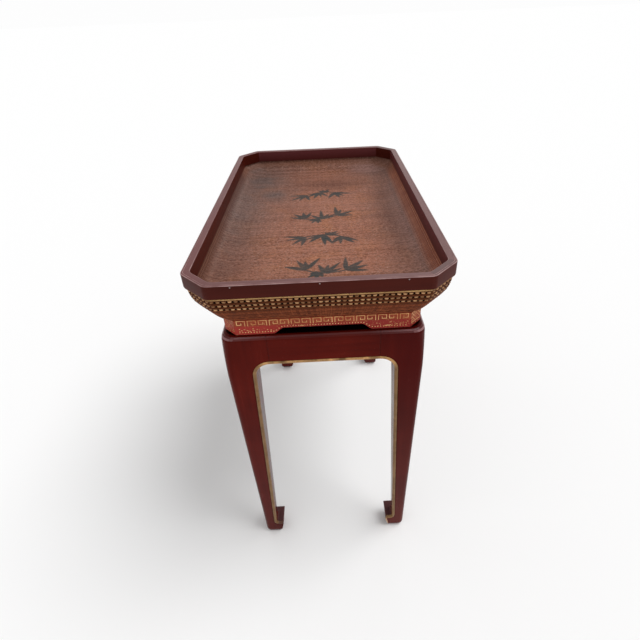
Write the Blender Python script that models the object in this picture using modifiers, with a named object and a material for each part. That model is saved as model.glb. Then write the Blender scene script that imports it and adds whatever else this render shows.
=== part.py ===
"""Woven bamboo tray with canted corners, loose on a lacquered stand with hoof feet.

Metres, +Z up. The stand's feet rest on Z = 0, X runs across the stand and Y along it.
"""

import math

import bmesh
import bpy
from mathutils import Matrix, Vector

# Fits between pieces
JOINT_GAP = 0.0003
BEYOND = 0.02

# Tray rim
RIM_WIDTH = 0.370
RIM_LENGTH = 0.640
RIM_CANT = 0.038
RIM_HEIGHT = 0.0195
RIM_LIP_DEPTH = 0.0025
RIM_LIP_THICKNESS = 0.0014
RIM_EDGE_RADIUS = 0.0015

# Stand frame, a narrow ledge larger than the tray's foot that stands on it
FOOT_SETBACK = 0.0395
STAND_LEDGE = 0.0065
FOOT_WIDTH = RIM_WIDTH - 2 * FOOT_SETBACK
FOOT_LENGTH = RIM_LENGTH - 2 * FOOT_SETBACK
STAND_WIDTH = FOOT_WIDTH + 2 * STAND_LEDGE
STAND_LENGTH = FOOT_LENGTH + 2 * STAND_LEDGE
STAND_HEIGHT = 0.528
APRON_DEPTH = 0.052
APRON_THICKNESS = 0.020
SHOULDER_RADIUS = 0.009
CORNER_RADIUS = 0.008
CORNER_TOP_RADIUS = 0.020

# Legs
LEG_TOP_WIDTH = 0.044
LEG_ANKLE_WIDTH = 0.024
LEG_LEAN = 0.007
SPANDREL_RADIUS = 0.024
HOOF_HEIGHT = 0.033
TOE_REACH = 0.0145
TOE_UNDERCUT = 0.006
TOE_FILLET = 0.006
TOE_TIP_RADIUS = 0.002
TOE_SOLE_RADIUS = 0.003
HEEL_RADIUS = 0.004

# Stand joinery
TENON_LENGTH = 0.014
TENON_THICKNESS = 0.008
TENON_SHOULDER = 0.014
BEAD_RADIUS = 0.0032
BEAD_PROUD = 0.0012
PANEL_THICKNESS = 0.008
PANEL_RECESS = 0.0015
RAIL_WIDTH = 0.028
RAIL_HEIGHT = 0.016
RAIL_HOUSING = 0.006
RAIL_SPACING = 0.280
BLOCK_HEIGHT = 0.024
BLOCK_REACH = 0.035

# Rim pins
PIN_SHANK_RADIUS = 0.0008
PIN_HEAD_RADIUS = 0.0011
PIN_HEAD_HEIGHT = 0.0007
PIN_DOME = 0.7
PIN_LENGTH = 0.007
PIN_DROP = 0.0028
PIN_END_DISTANCE = 0.034
PINS_PER_END = 3
PINS_PER_SIDE = 5

# Tray foot
FOOT_CANT = 0.0178
FOOT_HEIGHT = 0.025
FOOT_THICKNESS = 0.009
PAD_LENGTH = 0.0545
BRACKET_RUN = 0.017
BRACKET_HEIGHT = 0.0098
BATTEN_WIDTH = 0.016
BATTEN_HEIGHT = 0.034
BATTEN_SPACING = 0.170

# Woven walls
BASKET_HEIGHT = 0.0616
BASKET_THICKNESS = 0.0025
BASKET_BULGE = 0.010
BASKET_OVERHANG = 0.003
BASKET_CORNER_RADIUS = 0.014
WALL_GAP = 0.001
DISH_THICKNESS = 0.0025
DISH_FLARE = 0.040
HOOP_HEIGHT = 0.0028
HOOP_THICKNESS = 0.0026

# Fineness of the round shapes
WELD_DISTANCE = 1e-6
SHARP_ANGLE = 35
ARC_STEPS = 5
CORNER_STEPS = 3
WALL_STEPS = 7
PIN_SIDES = 8

# Levels of the stand, from the floor
APRON_BOTTOM = STAND_HEIGHT - APRON_DEPTH
SPRING = APRON_BOTTOM - SPANDREL_RADIUS
ANKLE = HOOF_HEIGHT + TOE_FILLET
PANEL_TOP = STAND_HEIGHT - PANEL_RECESS
PANEL_BOTTOM = PANEL_TOP - PANEL_THICKNESS
BEAD_DEPTH = BEAD_RADIUS - BEAD_PROUD

# Levels of the tray, from the top of the stand
FOOT_BOTTOM = JOINT_GAP
FOOT_TOP = FOOT_BOTTOM + FOOT_HEIGHT
BASKET_BOTTOM = FOOT_TOP + JOINT_GAP
BASKET_TOP = BASKET_BOTTOM + BASKET_HEIGHT
RIM_BOTTOM = BASKET_TOP + JOINT_GAP
RIM_TOP = RIM_BOTTOM + RIM_HEIGHT
BATTEN_TOP = FOOT_TOP + JOINT_GAP + BATTEN_HEIGHT
FLOOR_BOTTOM = BATTEN_TOP + JOINT_GAP
FLOOR_TOP = FLOOR_BOTTOM + DISH_THICKNESS

SIDES = ("front", "front_right", "right", "back_right", "back", "back_left", "left", "front_left")
HALF_TURN_OF_CANT = math.pi / 8


def clear_scene():
    """Remove every object left in the scene."""
    for item in list(bpy.data.objects):
        bpy.data.objects.remove(item, do_unlink=True)


def finish_mesh(bm, name):
    """Turn a bmesh with outward normals into a mesh."""
    bmesh.ops.recalc_face_normals(bm, faces=bm.faces)
    mesh = bpy.data.meshes.new(name)
    bm.to_mesh(mesh)
    bm.free()
    return mesh


def evaluated_mesh(item):
    """Mesh of an object with its modifiers or bevel, welded; the object is removed."""
    bpy.context.scene.collection.objects.link(item)
    graph = bpy.context.evaluated_depsgraph_get()
    mesh = bpy.data.meshes.new_from_object(item.evaluated_get(graph))
    bpy.data.objects.remove(item, do_unlink=True)
    bm = bmesh.new()
    bm.from_mesh(mesh)
    bmesh.ops.remove_doubles(bm, verts=bm.verts, dist=WELD_DISTANCE)
    bpy.data.meshes.remove(mesh)
    return finish_mesh(bm, "shape")


def plate(outline, thickness):
    """Flat outline in XY, thickened evenly about Z = 0."""
    curve = bpy.data.curves.new("outline", "CURVE")
    curve.dimensions = "2D"
    curve.fill_mode = "BOTH"
    curve.extrude = thickness / 2
    spline = curve.splines.new("POLY")
    spline.points.add(len(outline) - 1)
    for point, (x, y) in zip(spline.points, outline):
        point.co = (x, y, 0.0, 1.0)
    spline.use_cyclic_u = True
    return evaluated_mesh(bpy.data.objects.new("outline", curve))


def standing(outline, near, far):
    """Outline in X and Z, thickened along Y from near to far."""
    mesh = plate(outline, far - near)
    mesh.transform(Matrix.Translation((0, (near + far) / 2, 0)) @ Matrix.Rotation(math.pi / 2, 4, "X"))
    return mesh


def lying(outline, bottom, top):
    """Outline in X and Y, thickened along Z from bottom to top."""
    mesh = plate(outline, top - bottom)
    mesh.transform(Matrix.Translation((0, 0, (bottom + top) / 2)))
    return mesh


def box(low, high):
    """Box between two corners."""
    bm = bmesh.new()
    bmesh.ops.create_cube(bm, size=1.0)
    size = Vector(high) - Vector(low)
    bmesh.ops.scale(bm, vec=size, verts=bm.verts)
    bmesh.ops.translate(bm, vec=(Vector(high) + Vector(low)) / 2, verts=bm.verts)
    return finish_mesh(bm, "box")


def rod(points, radius):
    """Round rod along a line of points, with closed ends."""
    curve = bpy.data.curves.new("rod", "CURVE")
    curve.dimensions = "3D"
    curve.bevel_depth = radius
    curve.bevel_resolution = 2
    curve.use_fill_caps = True
    spline = curve.splines.new("POLY")
    spline.points.add(len(points) - 1)
    for point, place in zip(spline.points, points):
        point.co = (*place, 1.0)
    return evaluated_mesh(bpy.data.objects.new("rod", curve))


def loft(sections, closed=False):
    """Skin over sections with equal point counts: capped at both ends, or closed on itself."""
    bm = bmesh.new()
    rings = [[bm.verts.new(point) for point in section] for section in sections]
    pairs = list(zip(rings, rings[1:]))
    if closed:
        pairs.append((rings[-1], rings[0]))
    else:
        bm.faces.new(rings[0])
        bm.faces.new(rings[-1])
    for here, there in pairs:
        for index in range(len(here)):
            after = (index + 1) % len(here)
            bm.faces.new((here[index], here[after], there[after], there[index]))
    return finish_mesh(bm, "loft")


def combine(base, tool, operation):
    """Boolean of two meshes, as a new mesh."""
    target = bpy.data.objects.new("target", base)
    cutter = bpy.data.objects.new("cutter", tool)
    bpy.context.scene.collection.objects.link(cutter)
    change = target.modifiers.new("combine", "BOOLEAN")
    change.operation = operation
    change.solver = "EXACT"
    change.object = cutter
    mesh = evaluated_mesh(target)
    bpy.data.objects.remove(cutter, do_unlink=True)
    return mesh


def swapped(mesh):
    """Copy of a mesh with X and Y exchanged."""
    other = mesh.copy()
    other.transform(Matrix(((0, 1, 0, 0), (1, 0, 0, 0), (0, 0, 1, 0), (0, 0, 0, 1))))
    other.flip_normals()
    return other


def arc(centre, radius, first, last, steps=ARC_STEPS):
    """Points along an arc between two angles in degrees."""
    points = []
    for step in range(steps + 1):
        angle = math.radians(first + (last - first) * step / steps)
        points.append((centre[0] + radius * math.cos(angle), centre[1] + radius * math.sin(angle)))
    return points


def material(name, colour, roughness, metallic=0.0):
    """Plain shader for one finish."""
    finish = bpy.data.materials.new(name)
    finish.use_nodes = True
    shader = finish.node_tree.nodes["Principled BSDF"]
    shader.inputs["Base Color"].default_value = (*colour, 1.0)
    shader.inputs["Roughness"].default_value = roughness
    shader.inputs["Metallic"].default_value = metallic
    return finish


def round_over(radius, past):
    """How far a quarter-round edge draws back, a distance past the start of its curve."""
    if past <= 0:
        return 0.0
    return radius - math.sqrt(max(0.0, radius ** 2 - past ** 2))


def outer_face(level):
    """How far a leg's outer face stands in from the frame's outer plane at a level."""
    lean = LEG_LEAN * max(0.0, 1.0 - level / SPRING)
    heel = round_over(HEEL_RADIUS, HEEL_RADIUS - level)
    shoulder = round_over(SHOULDER_RADIUS, level - (STAND_HEIGHT - SHOULDER_RADIUS))
    return lean + heel + shoulder


def inner_edge(level):
    """Straight taper of a leg's inner edge, from the frame's outer plane."""
    at_ankle = outer_face(ANKLE) + LEG_ANKLE_WIDTH
    slope = (LEG_TOP_WIDTH - at_ankle) / (SPRING - ANKLE)
    return at_ankle + slope * (level - ANKLE)


TOE_TIP = inner_edge(ANKLE) + TOE_REACH
SEAM = inner_edge(SPRING) + SPANDREL_RADIUS
POST_TOP = inner_edge(STAND_HEIGHT)


def shoulder_levels(bottom):
    """Levels from a bottom up to the stand's top that follow the rounded shoulder."""
    spring = STAND_HEIGHT - SHOULDER_RADIUS
    rise = [spring + SHOULDER_RADIUS * math.sin(math.pi / 2 * step / ARC_STEPS) for step in range(ARC_STEPS)]
    return [bottom, *rise, STAND_HEIGHT]


def corner_radius(level):
    """Rounding of a leg's outer corner, growing above the spring to the top of the frame."""
    rise = max(0.0, (level - SPRING) / (STAND_HEIGHT - SPRING))
    return CORNER_RADIUS + (CORNER_TOP_RADIUS - CORNER_RADIUS) * rise ** 2


def leg_profile():
    """Leg seen square on: toe, fillet and tapering inner edge, run past floor, top and outer face."""
    sole = (TOE_TIP - TOE_UNDERCUT - TOE_SOLE_RADIUS, TOE_SOLE_RADIUS)
    tip = (TOE_TIP - TOE_TIP_RADIUS, HOOF_HEIGHT - TOE_TIP_RADIUS)
    fillet = (inner_edge(ANKLE) + TOE_FILLET, ANKLE)
    above = STAND_HEIGHT + BEYOND
    outline = [(-BEYOND, -BEYOND), (sole[0], -BEYOND)]
    outline += arc(sole, TOE_SOLE_RADIUS, -90, 0)
    outline += arc(tip, TOE_TIP_RADIUS, 0, 90)
    outline += arc(fillet, TOE_FILLET, 270, 180)
    outline += [(inner_edge(above), above), (-BEYOND, above)]
    return outline


def ear_outline():
    """Spandrel ear beside a leg's post, down to the spring of its curve."""
    above = STAND_HEIGHT + BEYOND / 2
    inside = inner_edge(SPRING) / 2
    outline = [(inside, above), (SEAM, above)]
    outline += arc((SEAM, SPRING), SPANDREL_RADIUS, 90, 180, 2 * ARC_STEPS)
    return outline + [(inside, SPRING)]


def leg_envelope():
    """Volume inside the leg's two outer faces, with the rounded corner, shoulder and heel."""
    heel = [HEEL_RADIUS * (1 - math.cos(math.pi / 2 * step / ARC_STEPS)) for step in range(ARC_STEPS + 1)]
    run = STAND_HEIGHT - SHOULDER_RADIUS - SPRING
    post = [SPRING + run * step / ARC_STEPS for step in range(ARC_STEPS)]
    far = SEAM + 2 * BEYOND
    sections = []
    for level in [*heel, *post, *shoulder_levels(SPRING)[1:]]:
        face = outer_face(level)
        radius = corner_radius(level)
        plan = arc((face + radius, face + radius), radius, 180, 270)
        plan += [(far, face), (far, far), (face, far)]
        sections.append([(x, y, level) for x, y in plan])
    return loft(sections)


def bead_line():
    """Centre of the bead on one leg, from the toe's tip to the seam, in the leg's own X, Y, Z."""
    line = [(TOE_TIP - BEAD_DEPTH, HOOF_HEIGHT - BEAD_DEPTH)]
    line += arc((inner_edge(ANKLE) + TOE_FILLET, ANKLE), TOE_FILLET + BEAD_DEPTH, 270, 180)
    line += arc((SEAM, SPRING), SPANDREL_RADIUS + BEAD_DEPTH, 180, 90, 2 * ARC_STEPS)
    return [Vector((across, outer_face(level) + BEAD_DEPTH, level)) for across, level in line]


def leg_mesh():
    """Leg with its origin under its outer corner and X and Y running inwards."""
    post = standing(leg_profile(), -2 * BEYOND, TOE_TIP + 2 * BEYOND)
    leg = combine(post, swapped(post), "INTERSECT")
    ear = standing(ear_outline(), -BEYOND / 2, APRON_THICKNESS)
    leg = combine(leg, ear, "UNION")
    leg = combine(leg, swapped(ear), "UNION")
    leg = combine(leg, leg_envelope(), "INTERSECT")
    side = (TENON_THICKNESS / 2) + JOINT_GAP
    middle = APRON_THICKNESS / 2
    low = (SEAM - TENON_LENGTH - JOINT_GAP, middle - side, APRON_BOTTOM + TENON_SHOULDER - JOINT_GAP)
    high = (SEAM + BEYOND, middle + side, STAND_HEIGHT - TENON_SHOULDER + JOINT_GAP)
    mortise = box(low, high)
    line = bead_line()
    line = [line[0] + Vector((BEYOND, 0, 0)), *line[1:], line[-1] + Vector((BEYOND, 0, 0))]
    cove = rod(line, BEAD_RADIUS + JOINT_GAP)
    for cutter in (mortise, swapped(mortise), cove, swapped(cove)):
        leg = combine(leg, cutter, "DIFFERENCE")
    return leg


def apron_mesh(frame_length):
    """Apron along X between two seams, outer plane at Y = 0, with a tenon at each end."""
    half = frame_length / 2 - SEAM - JOINT_GAP
    section = [(outer_face(level), level) for level in shoulder_levels(APRON_BOTTOM)]
    section += [(APRON_THICKNESS, STAND_HEIGHT), (APRON_THICKNESS, APRON_BOTTOM)]
    apron = loft([[(end, y, z) for y, z in section] for end in (-half, half)])
    reach = frame_length / 2 - SEAM + TENON_LENGTH
    near = (APRON_THICKNESS - TENON_THICKNESS) / 2
    low = (-reach, near, APRON_BOTTOM + TENON_SHOULDER)
    high = (reach, near + TENON_THICKNESS, STAND_HEIGHT - TENON_SHOULDER)
    apron = combine(apron, box(low, high), "UNION")
    edge = (BEAD_DEPTH, APRON_BOTTOM + BEAD_DEPTH)
    cove = rod([(-half - BEYOND, *edge), (half + BEYOND, *edge)], BEAD_RADIUS + JOINT_GAP)
    return combine(apron, cove, "DIFFERENCE")


def rail_box(clearance):
    """Cross rail through both long aprons' housings, grown by a clearance."""
    half = STAND_WIDTH / 2 - APRON_THICKNESS + RAIL_HOUSING
    top = PANEL_BOTTOM - JOINT_GAP
    low = (-half - clearance, -RAIL_WIDTH / 2 - clearance, top - RAIL_HEIGHT - clearance)
    high = (half + clearance, RAIL_WIDTH / 2 + clearance, top + clearance)
    return box(low, high)


def bead_mesh(frame_length):
    """One bead from toe to toe along X, outer plane at Y = 0."""
    left = [Vector((-frame_length / 2, 0, 0)) + point for point in bead_line()]
    right = [Vector((-point.x, point.y, point.z)) for point in reversed(left)]
    return rod(left + right, BEAD_RADIUS)


def panel_mesh():
    """Top panel between the aprons, notched round the four posts."""
    x = STAND_WIDTH / 2 - APRON_THICKNESS - JOINT_GAP
    y = STAND_LENGTH / 2 - APRON_THICKNESS - JOINT_GAP
    notch_x = STAND_WIDTH / 2 - POST_TOP - JOINT_GAP
    notch_y = STAND_LENGTH / 2 - POST_TOP - JOINT_GAP
    quarter = [(x, notch_y), (notch_x, notch_y), (notch_x, y)]
    outline = quarter + [(-a, b) for a, b in reversed(quarter)]
    outline += [(-a, -b) for a, b in quarter] + [(a, -b) for a, b in reversed(quarter)]
    return lying(outline, PANEL_BOTTOM, PANEL_TOP)


def block_mesh():
    """Corner block behind a post, in the leg's own X and Y."""
    near = APRON_THICKNESS + JOINT_GAP
    post = POST_TOP + JOINT_GAP
    far = POST_TOP + BLOCK_REACH
    outline = [(near, post), (post, post), (post, near), (far, near), (near, far)]
    top = PANEL_BOTTOM - JOINT_GAP
    return lying(outline, top - BLOCK_HEIGHT, top)


def octagon(half_x, half_y, cant):
    """Corners of a rectangle with canted corners, from the front's left end round to the right."""
    quarter = [(half_x - cant, -half_y), (half_x, -half_y + cant)]
    right = quarter + [(x, -y) for x, y in reversed(quarter)]
    left = [(-x, -y) for x, y in right]
    return [left[-1], *right, *left[:-1]]


def drawn_in(half_x, half_y, cant, inset):
    """Size of an octagon drawn in evenly on all eight sides."""
    return half_x - inset, half_y - inset, cant - inset * math.sqrt(2) * math.tan(HALF_TURN_OF_CANT)


def rounded_octagon(half_x, half_y, cant, radius, level):
    """Octagon ring at a level, with each corner turned on a radius."""
    corners = [Vector((x, y)) for x, y in octagon(half_x, half_y, cant)]
    tangent = radius * math.tan(HALF_TURN_OF_CANT)
    ring = []
    for index, corner in enumerate(corners):
        heading = (corner - corners[index - 1]).normalized()
        start = corner - heading * tangent
        centre = start + Vector((-heading.y, heading.x)) * radius
        first = math.degrees(math.atan2(start.y - centre.y, start.x - centre.x))
        turn = math.degrees(2 * HALF_TURN_OF_CANT)
        ring += [(x, y, level) for x, y in arc(centre, radius, first, first + turn, CORNER_STEPS)]
    return ring


def mitred_member(half_x, half_y, cant, profile, index):
    """One side of an eight-sided frame, mitred at both ends; profile is (inset, level) pairs."""
    ends = ([], [])
    for inset, level in profile:
        corners = octagon(*drawn_in(half_x, half_y, cant, inset))
        first = Vector((*corners[index], level))
        last = Vector((*corners[(index + 1) % len(corners)], level))
        trim = (last - first).normalized() * JOINT_GAP / 2 / math.cos(HALF_TURN_OF_CANT)
        ends[0].append(first + trim)
        ends[1].append(last - trim)
    return loft(ends)


def bracket_cutter(face_length):
    """Opening under a foot board, with an ogee at each end, centred on X = 0 and run past both faces."""
    pad = face_length / 2 - PAD_LENGTH
    half = [(pad, -BEYOND)]
    for step in range(2 * ARC_STEPS + 1):
        part_way = step / (2 * ARC_STEPS)
        rise = BRACKET_HEIGHT * (1 - math.cos(math.pi * part_way)) / 2
        half.append((pad - BRACKET_RUN * part_way, FOOT_BOTTOM + rise))
    outline = half + [(-x, z) for x, z in reversed(half)]
    return standing(outline, -FOOT_THICKNESS - BEYOND, FOOT_THICKNESS + BEYOND)


def wall_ring(fraction, inset, shrink=0.0):
    """Plan of the basket's wall a fraction of the way down: drawn in evenly, then less broad and long."""
    swell = BASKET_BULGE * 4 * fraction * (1 - fraction)
    top = drawn_in(RIM_WIDTH / 2, RIM_LENGTH / 2, RIM_CANT, BASKET_OVERHANG)
    bottom = (FOOT_WIDTH / 2, FOOT_LENGTH / 2, FOOT_CANT)
    outside = [high + (low - high) * fraction for high, low in zip(top, bottom)]
    half_x, half_y, cant = drawn_in(*outside, inset - swell)
    return half_x - shrink, half_y - shrink, cant


def wall_fraction(level):
    """How far down the basket's wall a level lies, from 0 at the rim to 1 at the foot."""
    return (BASKET_TOP - level) / BASKET_HEIGHT


def basket_mesh():
    """Outer woven wall between foot and rim."""
    outside = []
    inside = []
    for step in range(WALL_STEPS + 1):
        fraction = step / WALL_STEPS
        level = BASKET_TOP - BASKET_HEIGHT * fraction
        outside.append(rounded_octagon(*wall_ring(fraction, 0.0), BASKET_CORNER_RADIUS, level))
        inside.append(rounded_octagon(*wall_ring(fraction, BASKET_THICKNESS), BASKET_CORNER_RADIUS, level))
    return loft(outside + inside[::-1], closed=True)


def dish_skin(inset, floor):
    """Rings of one face of the dish, from its top edge down to its floor."""
    rings = []
    for step in range(WALL_STEPS + 1):
        angle = math.pi / 2 * step / WALL_STEPS
        level = floor + (BASKET_TOP - floor) * (1 - math.sin(angle))
        flare = DISH_FLARE * (1 - math.cos(angle))
        plan = wall_ring(wall_fraction(level), BASKET_THICKNESS + WALL_GAP + inset, flare)
        rings.append(rounded_octagon(*plan, BASKET_CORNER_RADIUS, level))
    return rings


def dish_mesh():
    """Inner woven dish: curved sides and flat floor."""
    outside = dish_skin(0.0, FLOOR_BOTTOM)
    inside = dish_skin(DISH_THICKNESS, FLOOR_TOP)
    return loft(outside[::-1] + inside)


def hoop_mesh():
    """Gilt hoop round the basket, under the rim."""
    middle = BASKET_TOP - HOOP_HEIGHT / 2
    bottom = BASKET_TOP - HOOP_HEIGHT
    outline = [(BASKET_TOP, -JOINT_GAP), (BASKET_TOP, -HOOP_THICKNESS / 2), (middle, -HOOP_THICKNESS)]
    outline += [(bottom, -HOOP_THICKNESS / 2), (bottom, -JOINT_GAP)]
    rings = []
    for level, inset in outline:
        plan = wall_ring(wall_fraction(level), inset)
        rings.append(rounded_octagon(*plan, BASKET_CORNER_RADIUS, level))
    return loft(rings, closed=True)


def lip_inset():
    """How far in from the rim's outer face its lip clears the dish's inner face and turned corners."""
    walls = BASKET_THICKNESS + WALL_GAP + DISH_THICKNESS
    levels = (BASKET_TOP, RIM_BOTTOM - RIM_LIP_DEPTH)
    insets = [RIM_WIDTH / 2 - wall_ring(wall_fraction(level), walls)[0] for level in levels]
    turned = BASKET_CORNER_RADIUS * (1 - math.cos(HALF_TURN_OF_CANT))
    return max(insets) + turned + 2 * JOINT_GAP


def rim_profile():
    """Section of the rim: two rounded upper edges and a lip down inside the woven walls."""
    edge = RIM_EDGE_RADIUS
    lip = lip_inset()
    inner = lip + RIM_LIP_THICKNESS
    lip_bottom = RIM_BOTTOM - RIM_LIP_DEPTH
    profile = [(0.0, RIM_BOTTOM)]
    profile += arc((edge, RIM_TOP - edge), edge, 180, 90, CORNER_STEPS)
    profile += arc((inner - edge, RIM_TOP - edge), edge, 90, 0, CORNER_STEPS)
    return profile + [(inner, lip_bottom), (lip, lip_bottom), (lip, RIM_BOTTOM)]


def pin_mesh():
    """Pin with a low domed head, its shank pointing down from Z = 0."""
    dome_edge = PIN_HEAD_RADIUS * PIN_DOME
    dome_level = JOINT_GAP + PIN_HEAD_HEIGHT * PIN_DOME
    outline = [(0.0, JOINT_GAP + PIN_HEAD_HEIGHT), (dome_edge, dome_level)]
    outline += [(PIN_HEAD_RADIUS, JOINT_GAP), (PIN_SHANK_RADIUS, JOINT_GAP)]
    outline += [(PIN_SHANK_RADIUS, -PIN_LENGTH), (0.0, -PIN_LENGTH)]
    mesh = bpy.data.meshes.new("pin")
    edges = [(index, index + 1) for index in range(len(outline) - 1)]
    mesh.from_pydata([(x, 0.0, z) for x, z in outline], edges, [])
    item = bpy.data.objects.new("pin", mesh)
    turn = item.modifiers.new("turn", "SCREW")
    turn.steps = PIN_SIDES
    turn.render_steps = PIN_SIDES
    turn.use_merge_vertices = True
    turn.merge_threshold = WELD_DISTANCE
    return evaluated_mesh(item)


def bore_mesh():
    """Hole for a pin's shank, along Z."""
    bm = bmesh.new()
    radius = PIN_SHANK_RADIUS + JOINT_GAP
    deep = PIN_LENGTH + JOINT_GAP
    length = deep + BEYOND
    bmesh.ops.create_cone(bm, cap_ends=True, segments=PIN_SIDES, radius1=radius, radius2=radius, depth=length)
    bmesh.ops.translate(bm, vec=(0, 0, length / 2 - deep), verts=bm.verts)
    return finish_mesh(bm, "bore")


def pin_places():
    """Side, number and placing of every pin: its head looks straight out of the rim."""
    level = RIM_TOP - PIN_DROP
    outward = Matrix.Rotation(math.pi / 2, 4, "X")
    places = []
    for turn, side in enumerate(("front", "right", "back", "left")):
        along = RIM_LENGTH if turn % 2 else RIM_WIDTH
        across = RIM_WIDTH if turn % 2 else RIM_LENGTH
        count = PINS_PER_SIDE if turn % 2 else PINS_PER_END
        run = along - 2 * (RIM_CANT + PIN_END_DISTANCE)
        for number in range(count):
            offset = (number / (count - 1) - 0.5) * run
            spot = Matrix.Translation((offset, -across / 2, level))
            places.append((side, number + 1, Matrix.Rotation(turn * math.pi / 2, 4, "Z") @ spot @ outward))
    return places


def add_part(name, mesh, finish, parent, placing=Matrix.Identity(4)):
    """Add one named piece under its parent, with flat faces crisp and round ones smooth."""
    mesh.name = name
    mesh.materials.clear()
    mesh.materials.append(finish)
    mesh.polygons.foreach_set("use_smooth", [True] * len(mesh.polygons))
    mesh.set_sharp_from_angle(angle=math.radians(SHARP_ANGLE))
    item = bpy.data.objects.new(name, mesh)
    parent.users_collection[0].objects.link(item)
    item.parent = parent
    item.matrix_local = placing
    return item


def add_empty(name, collection, location):
    """Empty that carries the pieces of one body."""
    empty = bpy.data.objects.new(name, None)
    empty.location = location
    collection.objects.link(empty)
    return empty


def build_stand(stand, lacquer, gilt, wood):
    """Legs, aprons, beads, panel, rails and corner blocks."""
    half = Vector((STAND_WIDTH / 2, STAND_LENGTH / 2, 0))
    leg = leg_mesh()
    block = block_mesh()
    corners = (("front_left", -1, -1), ("front_right", 1, -1), ("back_right", 1, 1), ("back_left", -1, 1))
    for turn, (place, side_x, side_y) in enumerate(corners):
        corner = Vector((half.x * side_x, half.y * side_y, 0))
        placing = Matrix.Translation(corner) @ Matrix.Rotation(turn * math.pi / 2, 4, "Z")
        add_part("leg_" + place, leg.copy(), lacquer, stand, placing)
        add_part("corner_block_" + place, block.copy(), wood, stand, placing)
    short_apron = apron_mesh(STAND_WIDTH)
    long_apron = apron_mesh(STAND_LENGTH)
    for spot in (-RAIL_SPACING / 2, RAIL_SPACING / 2):
        housing = rail_box(JOINT_GAP)
        quarter_turn = Matrix.Rotation(math.pi / 2, 4, "Z")
        housing.transform(Matrix.Translation((spot, STAND_WIDTH / 2, 0)) @ quarter_turn)
        long_apron = combine(long_apron, housing, "DIFFERENCE")
    for turn, place in enumerate(("front", "right", "back", "left")):
        is_long = turn % 2 == 1
        apron = long_apron if is_long else short_apron
        bead = bead_mesh(STAND_LENGTH if is_long else STAND_WIDTH)
        depth = half.x if is_long else half.y
        placing = Matrix.Rotation(turn * math.pi / 2, 4, "Z") @ Matrix.Translation((0, -depth, 0))
        add_part("apron_" + place, apron.copy(), lacquer, stand, placing)
        add_part("gilt_bead_" + place, bead, gilt, stand, placing)
    add_part("top_panel", panel_mesh(), lacquer, stand)
    for place, spot in (("front", -RAIL_SPACING / 2), ("back", RAIL_SPACING / 2)):
        add_part("cross_rail_" + place, rail_box(0.0), wood, stand, Matrix.Translation((0, spot, 0)))


def build_tray(tray, rim_lacquer, foot_lacquer, bamboo, gilt, wood, brass):
    """Foot, battens, woven walls, hoop, rim and pins, from the top of the stand upwards."""
    foot_section = [(0.0, FOOT_BOTTOM), (0.0, FOOT_TOP)]
    foot_section += [(FOOT_THICKNESS, FOOT_TOP), (FOOT_THICKNESS, FOOT_BOTTOM)]
    for index, place in enumerate(SIDES):
        board = mitred_member(FOOT_WIDTH / 2, FOOT_LENGTH / 2, FOOT_CANT, foot_section, index)
        if index % 2 == 0:
            is_long = index % 4 == 2
            face = (FOOT_LENGTH if is_long else FOOT_WIDTH) - 2 * FOOT_CANT
            across = FOOT_WIDTH if is_long else FOOT_LENGTH
            cutter = bracket_cutter(face)
            turn = Matrix.Rotation(index * math.pi / 4, 4, "Z")
            cutter.transform(turn @ Matrix.Translation((0, -across / 2, 0)))
            board = combine(board, cutter, "DIFFERENCE")
        add_part("foot_" + place, board, foot_lacquer, tray)
    reach = FOOT_WIDTH / 2 - BASKET_THICKNESS - WALL_GAP
    for place, spot in (("front", -BATTEN_SPACING), ("middle", 0.0), ("back", BATTEN_SPACING)):
        low = (-reach, spot - BATTEN_WIDTH / 2, FOOT_TOP + JOINT_GAP)
        add_part("floor_batten_" + place, box(low, (reach, spot + BATTEN_WIDTH / 2, BATTEN_TOP)), wood, tray)
    add_part("outer_basket", basket_mesh(), bamboo, tray)
    add_part("woven_dish", dish_mesh(), bamboo, tray)
    add_part("gilt_hoop", hoop_mesh(), gilt, tray)
    pins = pin_places()
    for index, place in enumerate(SIDES):
        member = mitred_member(RIM_WIDTH / 2, RIM_LENGTH / 2, RIM_CANT, rim_profile(), index)
        for side, number, placing in pins:
            if side == place:
                bore = bore_mesh()
                bore.transform(placing)
                member = combine(member, bore, "DIFFERENCE")
        add_part("rim_" + place, member, rim_lacquer, tray)
    for side, number, placing in pins:
        add_part(f"rim_pin_{side}_{number}", pin_mesh(), brass, tray, placing)


clear_scene()
collection = bpy.data.collections.new("tray_table")
bpy.context.scene.collection.children.link(collection)
build_stand(
    add_empty("stand", collection, (0, 0, 0)),
    material("oxblood_lacquer", (0.075, 0.012, 0.010), 0.22),
    material("bead_gilding", (0.42, 0.24, 0.07), 0.45, 0.6),
    material("bare_wood", (0.36, 0.22, 0.12), 0.7),
)
build_tray(
    add_empty("tray", collection, (0, 0, STAND_HEIGHT)),
    material("rim_lacquer", (0.060, 0.018, 0.014), 0.38),
    material("foot_lacquer", (0.23, 0.030, 0.015), 0.45),
    material("woven_bamboo", (0.20, 0.075, 0.030), 0.6),
    material("hoop_gilding", (0.42, 0.24, 0.07), 0.45, 0.6),
    material("batten_wood", (0.36, 0.22, 0.12), 0.7),
    material("brass", (0.55, 0.42, 0.22), 0.4, 1.0),
)
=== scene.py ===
import math
import random

import bmesh
import bpy
import numpy as np
from mathutils import Matrix, Vector


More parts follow.
